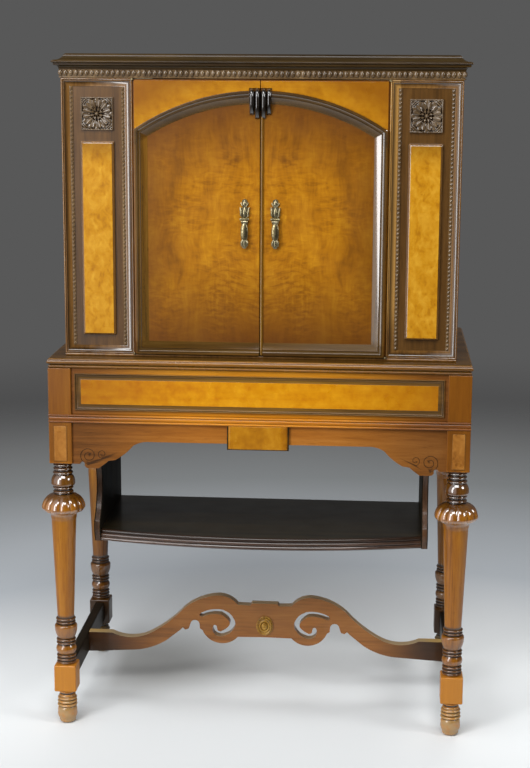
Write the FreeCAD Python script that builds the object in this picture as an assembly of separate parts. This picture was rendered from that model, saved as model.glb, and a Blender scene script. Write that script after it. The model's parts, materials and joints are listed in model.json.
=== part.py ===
import FreeCAD
import Part
import math
import os

# A two-door cabinet on a turned-leg stand. Millimetres. The front faces -Y, the floor is Z = 0,
# and the origin is on the floor under the middle of the four legs.

# Stand: legs, table top and the rails between the posts
TOP_HALF_WIDTH = 446.0
TOP_HALF_DEPTH = 247.0
TOP_UNDERSIDE = 799.0
TOP_SURFACE = 821.0
LEG_X = 421.0
LEG_Y = 222.0
POST = 45.0
POST_BOTTOM = 592.0
BLOCK = 48.0
BLOCK_TOP = 136.5
BLOCK_BOTTOM = 76.5
BULB_RADIUS = 46.5
BULB_NECK = 19.5
BULB_TOP = 524.0
BULB_BOTTOM = 473.0
GADROONS = 12
BULB_RINGS = 4
FLUTE_DEPTH = 3.5
RAIL = 22.0
RAIL_SETBACK = 5.5
SIDE_RAIL_BOTTOM = 652.0
WAIST_TOP = 700.0
WAIST_BOTTOM = 682.0
WAIST_PROUD = 3.0
APRON = 18.0
APRON_EDGE = 642.0
TAB_HALF_WIDTH = 63.0
TAB_BOTTOM = 632.0
FRIEZE_PANEL = (376.0, 722.0, 775.0)
BANDING = 8.0

# Stretchers and the hung shelf
STRETCHER_BOTTOM = 84.0
STRETCHER_TOP = 131.0
STRETCHER = 22.0
SCROLL_SLOT = 8.5
BOSS_HEIGHT = 159.0
SHELF_TOP = 427.0
SHELF_EDGE = 26.0
SHELF_HALF_WIDTH = 350.0
SHELF_FRONT = -195.0
SHELF_BACK = 116.0
SHELF_BOW = 24.0
SHELF_END = 14.0

# Upper cabinet
CASE_HALF_WIDTH = 413.0
CASE_FRONT = -208.0
CASE_BACK = 232.0
CASE_TOP = 1430.0
SIDE = 19.0
FRONT_BOARD = 20.0
BACK_BOARD = 6.0
FLOOR_BOARD = 17.0
BASE_FILLET_TOP = 826.0
HEAD = 1400.5
BEAD_ROW = 16.0
DOOR_STOP = 14.0
DOOR_LAP = 16.0
OPENING_HALF_WIDTH = 264.5
INNER_SHELF_TOP = 1108.0
INNER_SHELF = 16.0
CLEAT = 18.0
CORNICE_TOP = 1450.0

# Pilasters
FIELD_INNER = 283.0
FIELD_OUTER = 396.0
FIELD_BOTTOM = 864.0
FIELD_TOP = 1384.0
FIELD_DEPTH = 6.0
BEAD_STRIP = 7.0
PANEL_HALF_WIDTH = 35.0
PANEL_BOTTOM = 866.0
PANEL_TOP = 1272.0
PANEL_THICK = 9.0
ROSETTE = 68.0
ROSETTE_HEIGHT = 1328.0
PETALS = 8

# Doors, with one arch struck across the pair
DOOR_BOTTOM = 827.5
DOOR_TOP = 1399.0
DOOR_THICK = 20.0
DOOR_HINGE_EDGE = 263.5
DOOR_MEETING_EDGE = 0.75
DOOR_BEVEL = 2.0
ARCH_CENTRE = 909.0
ARCH_RADIUS = 468.0
MOULDING = 24.5
MOULDING_EDGE = 261.0
SPANDREL = 2.5
KEYSTONE_HALF_WIDTH = 23.5
KEYSTONE_BOTTOM = 1334.0
KEYSTONE_TOP = 1382.0
ASTRAGAL = 6.0

# Pivot hinges at the outer corners of the doors, and the drop pulls
PIVOT_Y = -211.0
PIVOT_NOSE = 3.0
PIVOT_PIN = 1.45
PIVOT_EYE = 1.5
LEAF = 2.0
FIXED_LEAF = 1.2
LEAF_GAP = 0.3
PULL_X = 32.0
PULL_PIVOT_Y = -215.0
PULL_PIVOT_Z = 1109.0
PULL_PIN = 1.5
PULL_EYE = 1.55
PULL_EYE_LENGTH = 7.0
PULL_KNUCKLE = 3.5
PULL_EAR = 2.5
PULL_EAR_SPREAD = 5.5
PULL_DROP = 4.4

POST_INNER = LEG_X - POST / 2
POST_FACE = LEG_Y + POST / 2
RAIL_FACE = POST_FACE - RAIL_SETBACK
PILASTER_MIDDLE = (OPENING_HALF_WIDTH + CASE_HALF_WIDTH) / 2
DOOR_FACE = CASE_FRONT
ARCH_INNER = ARCH_RADIUS - MOULDING

nodes = {}


def vec(x, y, z):
    return FreeCAD.Vector(x, y, z)


def on_front(y):
    """Places (x, z) on the upright plane at y."""
    return lambda x, z: vec(x, y, z)


def on_side(x):
    """Places (y, z) on the upright plane at x."""
    return lambda y, z: vec(x, y, z)


def on_plan(z):
    """Places (x, y) on the level plane at z."""
    return lambda x, y: vec(x, y, z)


def trace(place, start, *steps):
    """Edges from start: a point is a straight line, a pair is an arc through its first point."""
    edges = []
    here = start
    for step in steps:
        if isinstance(step[0], tuple):
            via, end = step
            edges.append(Part.Arc(place(*here), place(*via), place(*end)).toShape())
        else:
            end = step
            edges.append(Part.makeLine(place(*here), place(*end)))
        here = end
    return edges


def outline(place, start, *steps):
    """A flat face inside the closed trace."""
    return Part.Face(Part.Wire(trace(place, start, *steps, start)))


def box(x0, x1, y0, y1, z0, z1):
    return Part.makeBox(x1 - x0, y1 - y0, z1 - z0, vec(x0, y0, z0))


def mirrored(shape):
    return shape.mirror(vec(0, 0, 0), vec(1, 0, 0))


def both_sides(shape):
    """The shape and its mirror image, as two separate solids."""
    return Part.makeCompound([shape, mirrored(shape)])


def turned(start, *steps):
    """A solid turned about the Z axis from its (radius, height) profile."""
    return outline(on_front(0), start, *steps).revolve(vec(0, 0, 0), vec(0, 0, 1), 360)


def edges_where(shape, test):
    return [edge for edge in shape.Edges if test(edge.CenterOfMass)]


def mitre_wedge(corner, keep_front):
    """Removes what lies past the 45 degree plane through a front corner, on one side of it."""
    x, y = corner
    reach = 120.0
    ends = [(x - reach, y + reach), (x + reach, y - reach)]
    tip = (x + reach, y + reach) if keep_front else (x - reach, y - reach)
    face = outline(on_plan(0), ends[0], ends[1], tip)
    return face.extrude(vec(0, 0, CORNICE_TOP + 10))


def three_sided(section, half_width, front, back):
    """A front length and two returns of one moulding, mitred at the front corners.

    section(place) gives its face, where place takes the outward offset and the height.
    """
    reach = half_width + 60
    run = section(lambda out, z: vec(-reach, front - out, z)).extrude(vec(2 * reach, 0, 0))
    side = section(lambda out, z: vec(half_width + out, front - 60, z))
    side = side.extrude(vec(0, back - front + 60, 0))
    run = run.cut(mitre_wedge((half_width, front), True))
    run = run.cut(mirrored(mitre_wedge((half_width, front), True)))
    side = side.cut(mitre_wedge((half_width, front), False))
    return [run, side, mirrored(side)]


def scalloped(radius, depth, lobes, level):
    """A closed wire of equal round lobes whose crests touch the given radius."""
    step = 2 * math.pi / lobes
    valley = radius - depth

    def at(distance, angle):
        return vec(distance * math.cos(angle), distance * math.sin(angle), level)

    arcs = []
    for index in range(lobes):
        start = index * step
        end = start + step
        arcs.append(Part.Arc(at(valley, start), at(radius, start + step / 2), at(valley, end)).toShape())
    return Part.Wire(arcs)


def gadrooned_bulb():
    """The melon of the leg: lobes that swell from the upper neck and close at the lower one."""
    middle = (BULB_TOP + BULB_BOTTOM) / 2
    half_height = (BULB_TOP - BULB_BOTTOM) / 2
    rings = []
    for index in range(BULB_RINGS + 1):
        turn = math.pi * index / BULB_RINGS
        swell = math.sin(turn) ** 0.8
        radius = BULB_NECK + 2.5 + (BULB_RADIUS - BULB_NECK - 2.5) * swell
        level = middle + half_height * math.cos(turn)
        rings.append(scalloped(radius, 1 + FLUTE_DEPTH * swell, GADROONS, level))
    return Part.makeLoft(rings, True, True)


def leg():
    """One leg: square post, gadrooned bulb, tapered shaft, stretcher block and bun foot."""
    post = box(-POST / 2, POST / 2, -POST / 2, POST / 2, POST_BOTTOM, TOP_UNDERSIDE)
    vase = turned(
        (0, POST_BOTTOM), (17, POST_BOTTOM), (17, 588), (21, 584), (21, 581), (17, 577), (24, 566),
        (26, 552), (19.5, 536), (23.5, 534), (23.5, 532), (BULB_NECK, 530), (BULB_NECK, BULB_TOP),
        (0, BULB_TOP))
    shaft = turned(
        (0, BULB_BOTTOM), (BULB_NECK, BULB_BOTTOM), (25.5, 470), (25.5, 467), (21, 464), (23.5, 460),
        (17.7, 242), (21, 239), (21, 235), (17.7, 232), (24, 225), (24.5, 215), (17, 198), (21.5, 192),
        (21.5, 188), (17, 182), (22, 174), (22, 166), (17, 158.5), (21.5, 153), (17, 148), (22, 143),
        (17, BLOCK_TOP), (0, BLOCK_TOP))
    block = box(-BLOCK / 2, BLOCK / 2, -BLOCK / 2, BLOCK / 2, BLOCK_BOTTOM, BLOCK_TOP)
    corners = edges_where(block, lambda p: abs(p.x) > BLOCK / 2 - 1 and abs(p.y) > BLOCK / 2 - 1)
    block = block.makeChamfer(2.5, corners)
    foot = turned(
        (0, BLOCK_BOTTOM), (17, BLOCK_BOTTOM), (21, 71), (16.5, 63.5), (20.5, 52), (20.5, 42), (18, 33),
        (20, 28), (18, 11), (11, 0), (0, 0))
    return post.fuse([vase, gadrooned_bulb(), shaft, block, foot]).removeSplitter()


def add_legs():
    pattern = leg()
    for name, x, y in (("front_left_leg", -1, -1), ("front_right_leg", 1, -1),
                       ("rear_left_leg", -1, 1), ("rear_right_leg", 1, 1)):
        one = pattern.copy()
        one.translate(vec(x * LEG_X, y * LEG_Y, 0))
        nodes[name] = one


def add_table():
    """Top board, rails, frieze facing, waist moulding and the shaped apron."""
    top = box(-TOP_HALF_WIDTH, TOP_HALF_WIDTH, -TOP_HALF_DEPTH, TOP_HALF_DEPTH, TOP_UNDERSIDE, TOP_SURFACE)
    shown = lambda p: abs(p.x) > TOP_HALF_WIDTH - 1 or p.y < -TOP_HALF_DEPTH + 1
    upper = edges_where(top, lambda p: p.z > TOP_SURFACE - 1 and shown(p))
    top = top.makeFillet(7, upper)
    lower = edges_where(top, lambda p: p.z < TOP_UNDERSIDE + 1 and shown(p))
    nodes["table_top"] = top.makeChamfer(3, lower)

    face = -RAIL_FACE
    nodes["frieze_rail"] = box(-POST_INNER, POST_INNER, face, face + RAIL, WAIST_TOP, TOP_UNDERSIDE)
    nodes["rear_rail"] = box(-POST_INNER, POST_INNER, -face - RAIL, -face, SIDE_RAIL_BOTTOM, TOP_UNDERSIDE)
    side_face = LEG_X + POST / 2 - RAIL_SETBACK
    reach = LEG_Y - POST / 2
    side = box(side_face - RAIL, side_face, -reach, reach, SIDE_RAIL_BOTTOM, TOP_UNDERSIDE)
    nodes["right_side_rail"] = side
    nodes["left_side_rail"] = mirrored(side)

    half, low, high = FRIEZE_PANEL
    panel = box(-half, half, face - 1.5, face, low, high)
    nodes["frieze_panel"] = panel
    band = box(-half - BANDING, half + BANDING, face - 2.5, face, low - BANDING, high + BANDING)
    inner = box(-half, half, face - 5, face + 1, low, high)
    nodes["frieze_banding"] = band.cut(inner)

    nodes["waist_moulding"] = waist_moulding()
    nodes["front_apron"] = front_apron(face)
    tab = box(-TAB_HALF_WIDTH, TAB_HALF_WIDTH, face - 8, face, TAB_BOTTOM, WAIST_BOTTOM)
    upright = edges_where(tab, lambda p: abs(p.x) > TAB_HALF_WIDTH - 1 and p.y < face - 7)
    nodes["apron_tab"] = tab.makeFillet(5, upright)

    panel = box(LEG_X - 13, LEG_X + 13, -POST_FACE - 1.5, -POST_FACE, POST_BOTTOM + 7, WAIST_BOTTOM - 8)
    nodes["post_panels"] = both_sides(panel)
    nodes["corner_blocks"] = corner_blocks(face)


def waist_moulding():
    """Two reeds round the front and sides, notched over the posts that stand proud of the rails."""
    middle = (WAIST_TOP + WAIST_BOTTOM) / 2
    root = WAIST_PROUD - 2.5

    def section(place):
        return outline(place, (-RAIL_SETBACK, WAIST_BOTTOM), (root, WAIST_BOTTOM),
                       ((WAIST_PROUD, (WAIST_BOTTOM + middle) / 2), (root, middle)),
                       ((WAIST_PROUD, (WAIST_TOP + middle) / 2), (root, WAIST_TOP)),
                       (-RAIL_SETBACK, WAIST_TOP))

    lengths = three_sided(section, LEG_X + POST / 2, -POST_FACE, POST_FACE)
    half = POST / 2
    for x in (-LEG_X, LEG_X):
        for y in (-LEG_Y, LEG_Y):
            post = box(x - half, x + half, y - half, y + half, POST_BOTTOM, TOP_UNDERSIDE)
            lengths = [length.cut(post) for length in lengths]
    return Part.makeCompound(lengths)


def front_apron(face):
    """A sawn board: a straight middle and a scalloped bracket at each post."""
    half = outline(
        on_front(face), (0, WAIST_TOP), (POST_INNER, WAIST_TOP), (POST_INNER, 591), (380, 591),
        ((375.5, 596), (371, 589)), ((368, 584), (362, 582)), (341, 582), ((330, 590), (319, 599)),
        (305, 601), ((284, 615), (266, 633)), ((250, 640), (228, APRON_EDGE)), (0, APRON_EDGE))
    board = half.extrude(vec(0, APRON, 0))
    return board.fuse(mirrored(board)).removeSplitter()


def corner_blocks(face):
    """Triangular glue blocks behind the rails, under the top."""
    leg_length = 50.0
    inner_x = LEG_X + POST / 2 - RAIL_SETBACK - RAIL
    corner = (POST_INNER, face + RAIL)
    block = outline(on_plan(TOP_UNDERSIDE - 60), corner, (corner[0] - leg_length, corner[1]),
                    (corner[0], corner[1] + leg_length)).extrude(vec(0, 0, 60))
    post = box(LEG_X - POST / 2, inner_x + RAIL, -POST_FACE, -LEG_Y + POST / 2, POST_BOTTOM, TOP_UNDERSIDE)
    front = block.cut(post)
    rear = front.mirror(vec(0, 0, 0), vec(0, 1, 0))
    return Part.makeCompound([front, mirrored(front), rear, mirrored(rear)])


def add_stretchers():
    """Side boards between the leg blocks and the pierced scroll board that ties them."""
    reach = LEG_Y - BLOCK / 2
    side = box(LEG_X - STRETCHER / 2, LEG_X + STRETCHER / 2, -reach, reach, STRETCHER_BOTTOM, STRETCHER_TOP)
    long_tops = edges_where(side, lambda p: p.z > STRETCHER_TOP - 1 and abs(p.y) < 1)
    side = side.makeFillet(4, long_tops)
    nodes["right_side_stretcher"] = side
    nodes["left_side_stretcher"] = mirrored(side)
    nodes["centre_stretcher"] = centre_stretcher()
    boss = turned((0, 0), (20, 0), (20, 5), (13, 7), (9, 7), (7, 13), (0, 13))
    boss.rotate(vec(0, 0, 0), vec(1, 0, 0), 90)
    boss.translate(vec(0, -STRETCHER / 2, BOSS_HEIGHT))
    nodes["stretcher_boss"] = boss


def centre_stretcher():
    end = LEG_X - STRETCHER / 2
    face = -STRETCHER / 2
    half = outline(
        on_front(face), (0, 211), (30, 211), (33, 206), (62, 207), ((80, 222), (112, 228)),
        ((150, 218), (188, 194)), ((228, 157), (265, 133)), ((310, 121), (355, STRETCHER_TOP)),
        (end, STRETCHER_TOP), (end, STRETCHER_BOTTOM), (310, 90), ((262, 99), (228, 116)),
        (196, 142), (190, 148), (184, 143), (176, 146), (172, 158), ((160, 167), (151, 158)),
        (150, 147), (144, 143), ((103, 112.5), (62, 129)), (0, 130))
    board = half.extrude(vec(0, STRETCHER, 0))
    scroll = Part.Wire(trace(
        on_front(face), (146, 180), ((122, 188), (98, 188)), ((74, 160), (100, 135)),
        ((113, 140), (115, 152))))
    pierced = scroll.makeOffset2D(SCROLL_SLOT / 2, 0, False, False)
    slot = Part.Face(pierced).extrude(vec(0, STRETCHER, 0))
    board = board.cut(slot)
    return board.fuse(mirrored(board)).removeSplitter()


def add_hung_shelf():
    """A bow-fronted shelf carried by two shaped boards that hang from the table top."""
    half = SHELF_HALF_WIDTH
    reed = SHELF_EDGE / 3
    slab = bowed(half, SHELF_FRONT, SHELF_TOP - SHELF_EDGE, SHELF_TOP)
    for index in (1, 2):
        level = SHELF_TOP - index * reed
        groove = bowed(half, SHELF_FRONT - 4, level - 0.8, level + 0.8)
        keep = bowed(half, SHELF_FRONT + 2, level - 0.8, level + 0.8)
        slab = slab.cut(groove.cut(keep))
    hollow = box(-half, half, SHELF_FRONT + 40, SHELF_BACK + 1, SHELF_TOP - SHELF_EDGE - 1, SHELF_TOP - 15)
    nodes["hung_shelf"] = slab.cut(hollow)

    front, back = SHELF_FRONT, SHELF_BACK
    foot = SHELF_TOP - SHELF_EDGE - 6
    end = outline(
        on_side(half), (front - 8, foot + 20), ((front - 12, foot + 34), (front - 6, foot + 52)),
        ((front + 34, 500), (front + 6, 590)), (front, 640), (front, TOP_UNDERSIDE),
        (back, TOP_UNDERSIDE), (back, foot + 12), (back - 12, foot), (front + 4, foot))
    end = end.extrude(vec(SHELF_END, 0, 0))
    nodes["right_shelf_end"] = end
    nodes["left_shelf_end"] = mirrored(end)


def bowed(half, front, low, high):
    """A level board with a bowed front edge."""
    plan = outline(on_plan(low), (-half, front), ((0, front - SHELF_BOW), (half, front)),
                   (half, SHELF_BACK), (-half, SHELF_BACK))
    return plan.extrude(vec(0, 0, high - low))


def add_case():
    """Sides, floor, back, head rail, shelf and the mouldings of the upper cabinet."""
    behind_front = CASE_FRONT + FRONT_BOARD
    inner = CASE_HALF_WIDTH - SIDE
    rebate = box(inner - 1, inner + 6, CASE_BACK - BACK_BOARD, CASE_BACK + 1, TOP_SURFACE, CASE_TOP)
    side = box(inner, CASE_HALF_WIDTH, behind_front, CASE_BACK, TOP_SURFACE, CASE_TOP).cut(rebate)
    nodes["right_side_panel"] = side
    nodes["left_side_panel"] = mirrored(side)
    back_face = CASE_BACK - BACK_BOARD
    nodes["back_panel"] = box(-inner - 6, inner + 6, back_face, CASE_BACK, TOP_SURFACE, CASE_TOP)
    stop_face = behind_front + 1.5
    nodes["floor_board"] = box(-inner, inner, stop_face, back_face, TOP_SURFACE, TOP_SURFACE + FLOOR_BOARD)
    wide = CASE_HALF_WIDTH
    fillet = box(-wide, wide, CASE_FRONT - 2, behind_front, TOP_SURFACE, BASE_FILLET_TOP)
    nose = edges_where(fillet, lambda p: p.y < CASE_FRONT - 1 and abs(p.x) < 1)
    nodes["base_fillet"] = fillet.makeFillet(2, nose)
    nodes["head_rail"] = box(-wide, wide, CASE_FRONT, behind_front, HEAD, CASE_TOP)
    stop = OPENING_HALF_WIDTH
    nodes["door_stop"] = box(-stop, stop, stop_face, stop_face + DOOR_STOP, HEAD - DOOR_LAP, CASE_TOP)
    shelf_bottom = INNER_SHELF_TOP - INNER_SHELF
    reach = inner - 1
    shelf_front = stop_face + 30
    nodes["inner_shelf"] = box(-reach, reach, shelf_front, back_face - 2, shelf_bottom, INNER_SHELF_TOP)
    cleat = box(inner - CLEAT, inner, shelf_front + 10, back_face - 10, shelf_bottom - CLEAT, shelf_bottom)
    nodes["shelf_cleats"] = both_sides(cleat)

    nodes["bead_moulding"] = Part.makeCompound(case_moulding(bead_section))
    nodes["cornice_moulding"] = Part.makeCompound(case_moulding(cornice_section))
    nodes["cornice_top"] = cornice_top()


def case_moulding(section):
    return three_sided(section, CASE_HALF_WIDTH, CASE_FRONT, CASE_BACK)


def bead_section(place):
    """A fillet with the row of beads above it, which shows as one long half round."""
    crest = HEAD + BEAD_ROW
    return outline(place, (0, HEAD), (3, HEAD), (3, HEAD + 7), ((7, HEAD + 11.5), (3, crest)), (0, crest))


def cornice_section(place):
    """Cove, fillet and quarter round under the top board."""
    foot = HEAD + BEAD_ROW
    return outline(place, (0, foot), (3, foot), ((5.5, foot + 6.5), (11, foot + 9.5)), (12.5, foot + 9.5),
                   (12.5, CASE_TOP), (0, CASE_TOP))


def cornice_top():
    """The top board, with an ogee worked on its front and side edges."""
    foot = CASE_TOP
    border = 60.0

    def section(place):
        return outline(place, (-border, foot), (13, foot), ((15.5, foot + 3), (14, foot + 6)),
                       ((3, foot + 8.5), (-4, foot + 14)), ((-7, foot + 17.5), (-10.5, CORNICE_TOP)),
                       (-border, CORNICE_TOP))

    lengths = case_moulding(section)
    half = CASE_HALF_WIDTH - border
    middle = box(-half, half, CASE_FRONT + border, CASE_BACK, foot, CORNICE_TOP)
    return middle.fuse(lengths).removeSplitter()


def add_pilasters():
    """Wide panelled stiles beside the doors, with a raised panel, a rosette and beaded strips."""
    behind = CASE_FRONT + FRONT_BOARD
    board = box(OPENING_HALF_WIDTH, CASE_HALF_WIDTH, CASE_FRONT, behind, BASE_FILLET_TOP, HEAD)
    outer = edges_where(board, lambda p: p.x > CASE_HALF_WIDTH - 1 and p.y < CASE_FRONT + 1)
    board = board.makeFillet(5, outer)
    floor = CASE_FRONT + FIELD_DEPTH
    field = box(FIELD_INNER, FIELD_OUTER, CASE_FRONT - 1, floor, FIELD_BOTTOM, FIELD_TOP)
    board = board.cut(field)
    inside = lambda p: FIELD_INNER - 1 < p.x < FIELD_OUTER + 1 and FIELD_BOTTOM - 1 < p.z < FIELD_TOP + 1
    rim = edges_where(board, lambda p: abs(p.y - CASE_FRONT) < 0.1 and inside(p))
    board = board.makeFillet(4, rim)
    nodes["right_pilaster"] = board
    nodes["left_pilaster"] = mirrored(board)

    x = PILASTER_MIDDLE
    half = PANEL_HALF_WIDTH
    face = floor - PANEL_THICK
    panel = box(x - half, x + half, face, floor, PANEL_BOTTOM, PANEL_TOP)
    panel = panel.makeFillet(7, edges_where(panel, lambda p: p.y < face + 0.1))
    nodes["right_pilaster_panel"] = panel
    nodes["left_pilaster_panel"] = mirrored(panel)

    carved = rosette()
    carved.translate(vec(x, floor, ROSETTE_HEIGHT))
    nodes["rosettes"] = both_sides(carved)

    strips = []
    for near in (FIELD_INNER, FIELD_OUTER - BEAD_STRIP):
        far = near + BEAD_STRIP
        strip = outline(on_plan(FIELD_BOTTOM), (near, floor), (near, floor - 2),
                        (((near + far) / 2, floor - 5), (far, floor - 2)), (far, floor))
        strips.append(strip.extrude(vec(0, 0, FIELD_TOP - FIELD_BOTTOM)))
    nodes["right_bead_strips"] = Part.makeCompound(strips)
    nodes["left_bead_strips"] = mirrored(Part.makeCompound(strips))


def rosette():
    """A square block carved as a flower: a ring of petals round a button."""
    half = ROSETTE / 2
    block = box(-half, half, -5, 0, -half, half)
    rings = [scalloped(half - 2, 5, PETALS, 4), scalloped(half - 7, 4, PETALS, 9)]
    petals = Part.makeLoft(rings, True, True)
    petals = petals.cut(turned((0, 6), (12, 6), (half - 14, 10), (0, 10)))
    button = turned((0, 4), (8.5, 4), (8.5, 8), (5, 11), (0, 11))
    flower = petals.fuse(button)
    flower.rotate(vec(0, 0, 0), vec(1, 0, 0), 90)
    return block.fuse(flower).removeSplitter()


def leaf_plan(level, thick):
    """A pivot leaf seen from above: a plate on the door's edge and a nose out to the pivot."""
    hinge = OPENING_HALF_WIDTH
    plate = box(hinge - 42, DOOR_HINGE_EDGE, DOOR_FACE + 2, DOOR_FACE + 14, level, level + thick)
    arm = box(DOOR_HINGE_EDGE - 2, DOOR_HINGE_EDGE, PIVOT_Y, DOOR_FACE + 2, level, level + thick)
    nose = Part.makeCylinder(PIVOT_NOSE, thick, vec(hinge, PIVOT_Y, level))
    return plate.fuse([arm, nose]).removeSplitter()


def door_leaves():
    """The leaves let into the top and bottom edges of the right door."""
    leaves = []
    for level in (DOOR_BOTTOM, DOOR_TOP - LEAF):
        eye = Part.makeCylinder(PIVOT_EYE, LEAF, vec(OPENING_HALF_WIDTH, PIVOT_Y, level))
        leaves.append(leaf_plan(level, LEAF).cut(eye))
    return leaves


def case_leaves():
    """The leaves on the fillet and under the head rail, each with its pivot pin."""
    reach = LEAF + LEAF_GAP + 0.5
    hinge = (OPENING_HALF_WIDTH, PIVOT_Y)
    low = leaf_plan(BASE_FILLET_TOP, FIXED_LEAF)
    low_pin = Part.makeCylinder(PIVOT_PIN, reach, vec(*hinge, BASE_FILLET_TOP + FIXED_LEAF))
    high = leaf_plan(HEAD - FIXED_LEAF, FIXED_LEAF)
    high_pin = Part.makeCylinder(PIVOT_PIN, reach, vec(*hinge, HEAD - FIXED_LEAF - reach))
    return Part.makeCompound([low.fuse(low_pin), high.fuse(high_pin)])


def door_slab():
    """The right door, bevelled on its meeting edge so that its back corner clears the other."""
    back = DOOR_FACE + DOOR_THICK
    plan = outline(on_plan(DOOR_BOTTOM), (DOOR_MEETING_EDGE, DOOR_FACE), (DOOR_HINGE_EDGE, DOOR_FACE),
                   (DOOR_HINGE_EDGE, back), (DOOR_MEETING_EDGE + DOOR_BEVEL, back))
    slab = plan.extrude(vec(0, 0, DOOR_TOP - DOOR_BOTTOM))
    return slab.cut(Part.makeCompound(door_leaves()))


def keystone_half():
    """Half of the reeded keystone: two half-round reeds whose lower ends are cut back to points."""
    back = DOOR_FACE - 7
    width = (KEYSTONE_HALF_WIDTH - DOOR_MEETING_EDGE) / 2
    foot = KEYSTONE_BOTTOM - 14
    first = DOOR_MEETING_EDGE
    second = first + width
    last = KEYSTONE_HALF_WIDTH
    reeds = outline(on_plan(foot), (first, DOOR_FACE), (first, back),
                    ((first + width / 2, back - width / 2), (second, back)),
                    ((second + width / 2, back - width / 2), (last, back)), (last, DOOR_FACE))
    half = reeds.extrude(vec(0, 0, KEYSTONE_TOP - foot))
    front = back - width
    under = outline(on_side(0), (front, KEYSTONE_BOTTOM + 16), (DOOR_FACE, foot), (front, foot))
    return half.cut(under.extrude(vec(last + 1, 0, 0)))


def moulding_profile(place):
    """Bead, cove and small bead; place takes the distance in from the outer edge and the height."""
    return outline(place, (0, 0), (0, 6), (1.5, 8.5), (4.5, 8.5), (6, 6.5), ((11.5, 3.4), (19.5, 2.2)),
                   (20.5, 4), (23.5, 4), (MOULDING, 2.2), (MOULDING, 0))


def door_moulding(start):
    """The cove moulding round the right door: three lengths for foot, stile and half arch, mitred."""
    edge = MOULDING_EDGE
    foot = DOOR_BOTTOM + 0.5
    spring_out = ARCH_CENTRE + math.sqrt(ARCH_RADIUS ** 2 - edge ** 2)
    spring_in = ARCH_CENTRE + math.sqrt(ARCH_INNER ** 2 - (edge - MOULDING) ** 2)

    stile = moulding_profile(lambda u, h: vec(edge - u, DOOR_FACE - h, foot))
    stile = stile.extrude(vec(0, 0, spring_out - foot))
    rail = moulding_profile(lambda u, h: vec(start, DOOR_FACE - h, foot + u))
    rail = rail.extrude(vec(edge - start, 0, 0))
    arch = moulding_profile(lambda u, h: vec(0, DOOR_FACE - h, ARCH_CENTRE + ARCH_RADIUS - u))
    arch = arch.revolve(vec(0, 0, ARCH_CENTRE), vec(0, 1, 0), 40)

    slope = (spring_out - spring_in) / MOULDING
    far = 80.0
    deep = vec(0, 60, 0)
    front = on_front(DOOR_FACE - 30)
    spring = ((edge - far, spring_out - slope * far), (edge + far, spring_out + slope * far))
    high = spring_out + 3 * far
    low = spring_out - 3 * far
    above = outline(front, *spring, (edge + far, high), (edge - far, high)).extrude(deep)
    below = outline(front, *spring, (edge + far, low), (edge - far, low)).extrude(deep)
    corner = ((edge + far, foot - far), (edge - far, foot + far))
    under = outline(front, *corner, (edge - far, foot - far)).extrude(deep)
    over = outline(front, *corner, (edge + far, foot + far)).extrude(deep)
    beyond = box(0, KEYSTONE_HALF_WIDTH, DOOR_FACE - 30, DOOR_FACE + 30, KEYSTONE_BOTTOM - 20, KEYSTONE_TOP)
    stile = stile.cut(above).cut(under)
    return Part.makeCompound([stile, rail.cut(over), arch.cut(below).cut(beyond)])


def spandrel():
    """The pale corner above the arch on the right door."""
    edge = MOULDING_EDGE
    top = DOOR_TOP - LEAF - 0.5
    crown = ARCH_CENTRE + ARCH_RADIUS
    spring = ARCH_CENTRE + math.sqrt(ARCH_RADIUS ** 2 - edge ** 2)
    half_angle = math.asin(edge / ARCH_RADIUS) / 2
    via = (ARCH_RADIUS * math.sin(half_angle), ARCH_CENTRE + ARCH_RADIUS * math.cos(half_angle))
    face = outline(on_front(DOOR_FACE), (0, top), (0, crown), (via, (edge, spring)), (edge, top))
    plate = face.extrude(vec(0, -SPANDREL, 0))
    keystone = box(0, KEYSTONE_HALF_WIDTH, DOOR_FACE - 30, DOOR_FACE, KEYSTONE_BOTTOM - 20, KEYSTONE_TOP)
    meeting = box(0, DOOR_MEETING_EDGE, DOOR_FACE - 30, DOOR_FACE, crown, top)
    return plate.cut(keystone).cut(meeting)


def pull_plate():
    """Cast back plate of the right pull, with two ears that carry the drop's pin."""
    z = PULL_PIVOT_Z
    x = PULL_X
    plate = outline(
        on_front(DOOR_FACE), (x - 6, z - 6), (x - 7, z + 4), ((x - 7, z + 16), (x - 10, z + 27)),
        ((x - 4, z + 32), (x - 4.5, z + 38)), ((x, z + 47), (x + 4.5, z + 38)),
        ((x + 4, z + 32), (x + 10, z + 27)), ((x + 7, z + 16), (x + 7, z + 4)), (x + 6, z - 6))
    plate = plate.extrude(vec(0, -3, 0))
    ears = []
    for side in (-1, 1):
        left = x + side * PULL_EAR_SPREAD - PULL_EAR / 2
        knuckle = PULL_KNUCKLE
        ears.append(box(left, left + PULL_EAR, PULL_PIVOT_Y, DOOR_FACE - 2, z - knuckle, z + knuckle))
        ears.append(Part.makeCylinder(knuckle, PULL_EAR, vec(left, PULL_PIVOT_Y, z), vec(1, 0, 0)))
    start = vec(x - PULL_EAR_SPREAD, PULL_PIVOT_Y, z)
    pin = Part.makeCylinder(PULL_PIN, 2 * PULL_EAR_SPREAD, start, vec(1, 0, 0))
    return plate.fuse(ears + [pin]).removeSplitter()


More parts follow.
